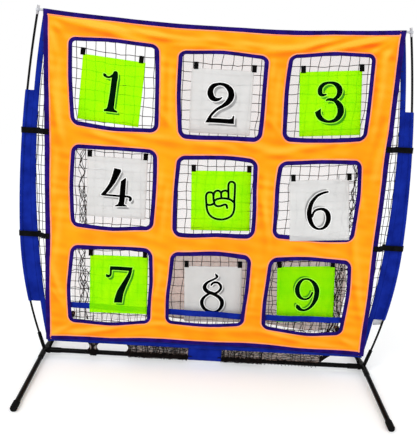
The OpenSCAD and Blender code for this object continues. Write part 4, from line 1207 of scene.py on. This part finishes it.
def make_corner_loop(name, side):
    """An elastic loop from the pole's tip to the net's top corner."""
    z = POLE_TOP_Z - TIP_LEN / 2
    x, end = float(pole_x(z)), float(net_edge_x(NET_TOP)) + 4
    radius, front = TIP_R + 1.5 + STRAP_T / 2, -1.2 - STRAP_T / 2
    line = np.vstack([[(end, front - 0.3), (end + 10, front - 0.2), (x - radius - 8, front - 0.4),
                       (x - radius - 1, front - 3.5)], arc_points((x, 0), radius, 205, 520, 30)])
    shell = Shell()
    add_flat_strap(shell, line, z, 10, side)
    shell.piece(f"tip_loop_{name}", ([ELASTIC], "elastic_grey"), f"corner_loop_{name}")


def make_ties():
    """Short ties at the banner's corners, back to the net's side bands."""
    shell = Shell()
    inset, back, front = 36, BANNER_Y + 1.4, -1.4
    y = np.linspace(back - 1, front, 12)
    for side in SIDES.values():
        for z in (BANNER_Z0 + inset, BANNER_Z0 + BANNER_H - inset):
            x = min(float(net_edge_x(z)) + BAND_W, BANNER_W / 2) - STRAP_T / 2 - 1
            bowed = x + 0.9 * np.sin((y - back) / (front - back) * math.pi)
            add_flat_strap(shell, joined(bowed, y), z, 20, side)
    shell.piece("corner_ties", ([NAVY], "navy_blue"), "banner_ties")


# ---- cards ----

# The printed figures, from the card's middle: strokes as runs of across, up, half width, and filled
# shapes as runs of across, up
FIGURES = {
    1: ([[9, 86, 9.3, 8, 71, 12, 7, 54, 11.5, 6, 13, 11.3, 4, -30, 12.2, 2, -62, 13.3],
         [2, 78, 5.8, -7, 72, 3.8, -16, 67, 3.1, -25, 67, 3.3, -31, 70, 4.4, -36, 74, 5.6, -38, 76, 3.6]],
        [[-3, 74, 5, 89, 10, 93, 17, 91, 18, 81],
         [-24, -69, -14, -65, -11, -57, 15, -55, 18, -63, 32, -70, 31, -74, -23, -75]]),
    2: ([[2, 30, 1.1, -5, 24, 3.9, -16, 20, 5.9, -29, 21, 8.7, -40, 28, 10.9, -47, 41, 11.8, -48, 54, 10.9,
          -44, 66, 9.6, -36, 76, 7.9, -23, 82, 5.7, -9, 85, 4.8, 8, 83, 5.9, 24, 75, 8.7, 37, 61, 10.9,
          42, 44, 11.8, 39, 27, 11.4, 27, 9, 9.2, 8, -6, 6.1, -13, -19, 4.8, -29, -34, 4.6, -40, -48, 4.6,
          -48, -63, 5.2, -53, -72, 4.8]],
        [[-61, -78, -54, -63, -44, -60, 1, -60, 40, -60, 51, -57, 56, -45, 59, -45, 60, -78, 48, -78,
          11, -77, -28, -77]]),
    3: ([[-19, 40, 1.8, -26, 38, 3.8, -35, 38, 5.8, -43, 44, 8.5, -45, 54, 9.3, -44, 65, 8.5, -38, 75, 7.6,
          -28, 83, 6.2, -16, 87, 4.5, -3, 88, 4, 14, 85, 5.8, 28, 76, 9, 38, 62, 10.8, 39, 48, 10.8,
          34, 34, 8.5, 23, 23, 6, 10, 17, 4.5, 0, 18, 4.9],
         [-18, 14, 1.3, -12, 18, 4, 0, 19, 4.9, 15, 15, 5.4, 28, 7, 8.5, 40, -8, 11.7, 45, -25, 13,
          44, -41, 12.6, 35, -58, 10.3, 20, -70, 7.2, 3, -74, 4.9, -10, -74, 4.5, -27, -68, 6.7,
          -42, -57, 9.4, -51, -42, 10.7]],
        [[-64, -34, -41, -20, -40, -43, -35, -55, -51, -56, -60, -44]]),
    4: ([[-63, -21, 3.6, -27, -22, 3.4, 13, -23, 3.6, 41, -23, 3.6, 54, -24, 4, 61, -28, 4.9, 62, -34, 5.8,
          60, -39, 4.9]],
        [[-13, 99, 14, 95, 16, 87, 5, 63, -9, 36, -28, 8, -47, -16, -47, -24, -66, -24, -68, -20, -51, 1,
          -34, 28, -23, 58, -17, 82],
         [18, 43, 37, 59, 39, 54, 38, 23, 37, -22, 35, -45, 33, -59, 43, -64, 48, -68, -6, -70, -5, -68,
          7, -61, 12, -49, 14, -28, 15, -1]]),
    6: ([[37, 93, 3.4, 25, 91, 3.8, 10, 86, 4.3, -8, 77, 5.2, -23, 62, 6.3, -34, 46, 7.7, -41, 26, 8.6,
          -45, 6, 9.5, -44, -14, 9.7, -39, -36, 8.6, -29, -55, 6.8, -15, -67, 4.5, 1, -71, 3.6, 18, -67, 5,
          31, -54, 7.7, 39, -35, 9.5, 40, -17, 10, 35, 1, 9.1, 24, 13, 6.8, 8, 18, 5, -7, 16, 4.3,
          -21, 9, 4.1, -28, -3, 3.8, -32, -15, 3.6]], []),
    7: ([[-40, 91, 4.7, -41, 78, 4, -41, 65, 3.7, -44, 56, 4, -51, 52, 5.4, -57, 54, 6.1, -59, 57, 3.7]],
        [[-43, 98, 4, 98, 57, 96, 54, 81, 9, 82, -35, 83, -43, 75],
         [56, 95, 54, 75, 48, 52, 36, 23, 26, -2, 18, -26, 14, -50, 12, -70, -23, -70, -22, -58, -17, -38,
          -9, -14, 6, 12, 22, 39, 37, 65, 44, 83]]),
    8: ([[11, 100, 1.4, 14, 94, 4.1, 18, 89, 5.3, 18, 85, 4.6, 12, 79, 3.7, -4, 70, 3.9, -21, 61, 4.6,
          -33, 50, 6, -39, 35, 7.9, -33, 21, 8.4, -19, 10, 7.9, -3, 5, 7.5, 13, -3, 7, 30, -15, 7.5,
          42, -32, 8.4, 43, -49, 8, 36, -68, 6.6, 22, -81, 4.7, 3, -86, 4, -18, -82, 4.7, -37, -72, 6.1,
          -48, -55, 7.1, -51, -38, 7.5, -45, -21, 6.1, -33, -8, 4.7, -16, 4, 4.4],
         [-8, 45, 3.2, -2, 54, 4.2, 9, 59, 4.4, 23, 57, 4.6, 34, 46, 5.1, 37, 32, 5.1, 30, 19, 4.9,
          20, 10, 4.7, 8, 2, 6.1]], []),
    9: ([[41, 7, 3.8, 34, -9, 3.8, 23, -20, 3.8, 6, -24, 4, -10, -18, 5.7, -23, -3, 8.5, -29, 19, 9.9,
          -27, 40, 8.9, -18, 59, 7, -4, 72, 4.7, 12, 75, 3.8, 31, 69, 4.7, 48, 53, 8, 59, 30, 10.4,
          62, 8, 10.4, 58, -19, 10, 48, -43, 7.6, 33, -63, 5.7, 14, -75, 4.5, -2, -77, 4.8, -17, -70, 7.6,
          -25, -60, 8.6, -28, -54, 4.8]], []),
}
# The strokes of the pointing hand in the middle, all of one width, as runs of across, up
HAND_R = 3.8
HAND = [[34, 12, 33, 35, 32, 66, 33, 77, 37, 85, 45, 88, 54, 86, 60, 79, 61, 70, 61, 36, 60, 4, 61, -18,
         60, -39, 55, -56, 45, -69, 29, -78, 10, -83, -13, -82, -32, -76, -47, -65, -57, -49, -62, -31,
         -64, -9, -66, 18, -64, 29, -58, 37, -49, 39, -39, 37, -34, 30, -33, 19, -32, 4, -29, -9],
        [-62, -15, -55, -18, -46, -18, -37, -15, -29, -9],
        [-32, 26, -30, 36, -25, 43, -17, 47, -7, 45, -1, 39, 1, 30, 2, 14],
        [1, 34, 4, 42, 10, 46, 19, 48, 26, 46, 32, 42],
        [-29, -9, -28, 0, -21, 7, -10, 11, 6, 13, 26, 12, 44, 7, 59, -5],
        [-29, -9, -26, -16, -18, -22, -8, -23, 2, -21, 11, -17, 19, -15, 26, -18, 29, -30]]
FIGURES[5] = [np.insert(np.reshape(line, (-1, 2)).astype(float), 2, HAND_R, 1) for line in HAND], []
# How far each figure is printed from its own place
FIGURE_SHIFTS = {1: (2, -12), 2: (0, -10), 4: (0, -13), 6: (0, -12), 7: (4, -14), 9: (-9, 0)}
# Place of each figure's shadow from the figure
SHADOWS = {1: (11, -10), 2: (12, -11.5), 3: (10.5, -11.5), 4: (9.5, -11), 6: (-9.5, 9), 7: (10.5, -10.5),
           8: (10.5, -7), 9: (-8.5, 9)}
# How much wider than its strokes a figure is printed, with the clear line and the shadow round it
FIGURE_GAIN, HALO, SHADOW_GAIN = 1.3, 4.6, 0.8
# Spacing of points over a card and along its figure's strokes, and the radius of a card's corners
CARD_CELL, STROKE_STEP, CARD_CORNER = 9.0, 5.0, 3


def spline(points):
    """A smooth line through points, with a point about every STROKE_STEP millimetres."""
    ends = np.vstack([2 * points[0] - points[1], points, 2 * points[-1] - points[-2]])
    line = []
    for a, b, c, d in zip(ends, ends[1:], ends[2:], ends[3:]):
        count = max(2, int(np.linalg.norm((c - b)[:2]) / STROKE_STEP) + 1)
        for t in np.arange(count) / count:
            line.append(0.5 * (2 * b + (c - a) * t + (2 * a - 5 * b + 4 * c - d) * t ** 2
                               + (3 * b - a - 3 * c + d) * t ** 3))
    return np.vstack([line, points[-1]])


def stroke_shapes(stroke, grow):
    """Quads and round ends that cover a stroke of changing width, all wider by grow."""
    line = spline(np.reshape(stroke, (-1, 3)).astype(float))
    half = np.maximum(line[:, 2:], 0.3) + grow
    ahead = directions(line[:, :2])
    aside = joined(-ahead[:, 1], ahead[:, 0])
    left, right = line[:, :2] + aside * half, line[:, :2] - aside * half
    shapes = [np.array([right[k], right[k + 1], left[k + 1], left[k]]) for k in range(len(line) - 1)]
    return shapes + [arc_points(line[k, :2], half[k], 0, 324, 10) for k in (0, -1)]


def grown(shape, grow):
    """A filled shape, moved outwards by grow all round."""
    shape = np.reshape(shape, (-1, 2)).astype(float)
    x, z = shape.T
    if np.sum(x * np.roll(z, -1) - np.roll(x, -1) * z) < 0:
        shape = shape[::-1]
    before, after = shape - np.roll(shape, 1, 0), np.roll(shape, -1, 0) - shape
    normals = [joined(edge[:, 1], -edge[:, 0]) / np.linalg.norm(edge, axis=1, keepdims=True)
               for edge in (before, after)]
    middle = normals[0] + normals[1]
    middle /= np.maximum(np.sum(middle * normals[0], 1, keepdims=True), 0.45)
    return shape + grow * middle


def card_layers(n):
    """Printed layers of card n, lowest first, as (its material's number, shapes)."""
    strokes, fills = FIGURES[n]
    place = np.array(FIGURE_SHIFTS.get(n, (0, 0)), float)
    layers = [(3, SHADOW_GAIN, place + SHADOWS[n])] if n in SHADOWS else []
    layers += [(2, HALO, place), (1, FIGURE_GAIN, place)]
    return [(kind, [shape + shift for stroke in strokes for shape in stroke_shapes(stroke, grow)]
             + [grown(fill, grow) + shift for fill in fills]) for kind, grow, shift in layers]


def triangulated(outline, layers, cell):
    """Triangles of a flat sheet, cut along the edges of its printed layers, with their kinds."""
    low, high = outline.min(0), outline.max(0)
    grid = np.stack(np.meshgrid(np.arange(low[0] + cell / 2, high[0], cell),
                                np.arange(low[1] + cell / 2, high[1], cell)), -1).reshape(-1, 2)
    points = [grid, outline]
    faces, kinds = [list(range(len(grid), len(grid) + len(outline)))], [0]
    count = len(grid) + len(outline)
    for kind, shapes in layers:
        for shape in shapes:
            points.append(shape)
            faces.append(list(range(count, count + len(shape))))
            kinds.append(kind)
            count += len(shape)
    flat = [Vector(p) for p in np.vstack(points)]
    made, _, triangles, _, _, origins = delaunay_2d_cdt(flat, [], faces, 1, 1e-4)
    chosen = [kinds[max(sources)] for sources in origins]
    return np.array([tuple(p) for p in made]), triangles, chosen


def card_bend(n, across, up):
    """How far card n's cloth stands out of its plane, at most about 2 mm, and not at its tabs."""
    low = smooth_step(up, CARD_H / 2, -CARD_H / 2)
    curl = 1.4 * low * math.sin(2.3 * n) * (across / (CARD_W / 2)) ** 2
    ripple = 0.9 * waves(200 + n, 240, across, up) + 0.35 * waves(210 + n, 80, across, up)
    bend = curl + ripple * smooth_step(up, CARD_H / 2 - 8, CARD_H / 2 - 70)
    # The two cards that lean on other cloth stay flatter
    return np.clip(bend, -1.2, 0.6) if n in CARD_LEANS else bend


def make_card(n):
    hinge, along, up, out = card_frame(n)
    outline, _ = round_rect_path(0, 0, CARD_W, CARD_H, CARD_CORNER)
    flat, triangles, kinds = triangulated(outline, card_layers(n), CARD_CELL)
    depth = -CARD_Y + card_bend(n, *flat.T)
    middle = (hinge + flat[:, :1] * along + (flat[:, 1:] - CARD_DROP - CARD_H / 2) * up
              + depth[:, None] * out)
    shell = Shell().add(*thicken(middle, triangles, out, CARD_T))
    shell.kinds[:len(kinds)] = kinds
    finish = ([LIME, LIME_INK, LIME_HALO, LIME_SHADE], "lime") if n % 2 else (
        [WHITE, INK, WHITE_HALO, GREY_SHADE], "off_white")
    card = shell.piece(f"number_card_{n}", finish, f"card_{n}", body=f"card_{n}")


def make_tabs(n):
    """Two strips of hook tape, folded round the cord, that grip the card's top edge."""
    hinge, along, up, out = card_frame(n)
    low, half = -CARD_DROP - TAB_LAP, TAB_W / 2
    front, back = -CARD_Y + CARD_T / 2, -CARD_Y - CARD_T / 2
    section = np.vstack([
        [(front + TAB_LEAF, low), (front + TAB_LEAF, low * 0.5), (front + TAB_LEAF, -6), (2.9, -1.8)],
        arc_points((0, 0), TAB_R, -10, 225, 20),
        [(back - TAB_LEAF - 0.15, -5), (back - TAB_LEAF, low * 0.5), (back - TAB_LEAF, low),
         (back, low), (back, -CARD_DROP), (front, -CARD_DROP), (front, low)]])
    inward = np.array([1.6, section[:, 1].mean()]) - section
    inward /= np.maximum(np.linalg.norm(inward, axis=1, keepdims=True), 1)
    shell = Shell()
    for place in tab_places(n):
        rings = []
        for across, shrink in ((-half, 0.35), (-half + 0.6, 0), (0, 0), (half - 0.6, 0), (half, 0.35)):
            bits = section + inward * shrink
            rings.append(hinge + (place + across) * along + bits[:, :1] * out + bits[:, 1:] * up)
        shell.add(*loft(rings))
        for seam in (low + 2.2, low + 16.2):
            path = [hinge + (place + a) * along + (front + TAB_LEAF + 0.05) * out + seam * up
                    for a in (2 - half, half - 2)]
            add_stitches(shell, path, out, pitch=3, length=2.2, radius=0.25)
    shell.piece(f"tabs_{n}", ([HOOKS, BLACK_THREAD], "strap_black"), f"card_tabs_{n}", body=f"card_{n}")


# ---- floor and light ----

FLOOR_REACH = 9
# Light that the studio floor sends back by itself, so that it stays as white as the backdrop
FLOOR_GLOW = 0.1
# Place, size and power of each light, and the point that they face
LIGHTS = {"key_light": ((-1.8, -2.6, 3.4), 1.2, 42), "fill_light": ((2.8, -2.4, 1.8), 2.4, 8)}
LIT_POINT = Vector((0, 0, 0.8))


def make_stage():
    floor = bpy.data.meshes.new("floor")
    corners = ((-1, -1, 0), (1, -1, 0), (1, 1, 0), (-1, 1, 0))
    floor.from_pydata([Vector(corner) * FLOOR_REACH for corner in corners], [], [(0, 1, 2, 3)])
    white = new_material("floor_white", (0.93, 0.945, 0.955), (0.95, 0.965, 0.975), 2500, 0.8,
                         Emission_Color=(1, 1, 1, 1), Emission_Strength=FLOOR_GLOW)[0]
    floor.materials.append(white)
    made = bpy.data.objects.new("floor", floor)
    bpy.context.collection.objects.link(made)


def add_area_light(name, place, size, power):
    data = bpy.data.lights.new(name, "AREA")
    data.shape, data.size, data.energy = "SQUARE", size, power
    light = bpy.data.objects.new(name, data)
    bpy.context.collection.objects.link(light)
    light.location = place
    light.rotation_euler = (LIT_POINT - Vector(place)).to_track_quat("-Z", "Y").to_euler()


def light_scene():
    world = bpy.data.worlds.new("studio")
    bpy.context.scene.world = world
    world.use_nodes = True
    backdrop = world.node_tree.nodes["Background"].inputs
    backdrop["Color"].default_value, backdrop["Strength"].default_value = (1, 1, 1, 1), 1.0
    for name, light in LIGHTS.items():
        add_area_light(name, *light)
    bpy.context.scene.view_settings.view_transform = "Standard"


# ---- all pieces ----

finish_frame()
for make in (make_banner, make_bindings, make_main_net, make_slack_net, make_gauze, make_gathers,
             make_top_band, make_hem, make_pocket, make_centre_sleeve, make_skirt, make_straps,
             make_corner_straps, make_sleeve_elastic, make_ties):
    make()
for side_name, side_sign in SIDES.items():
    make_side_band(side_name, side_sign)
    make_side_sleeve(side_name, side_sign)
    make_corner_loop(side_name, side_sign)
for card_number in CARDS:
    make_tabs(card_number)
    make_card(card_number)
make_stage()
light_scene()
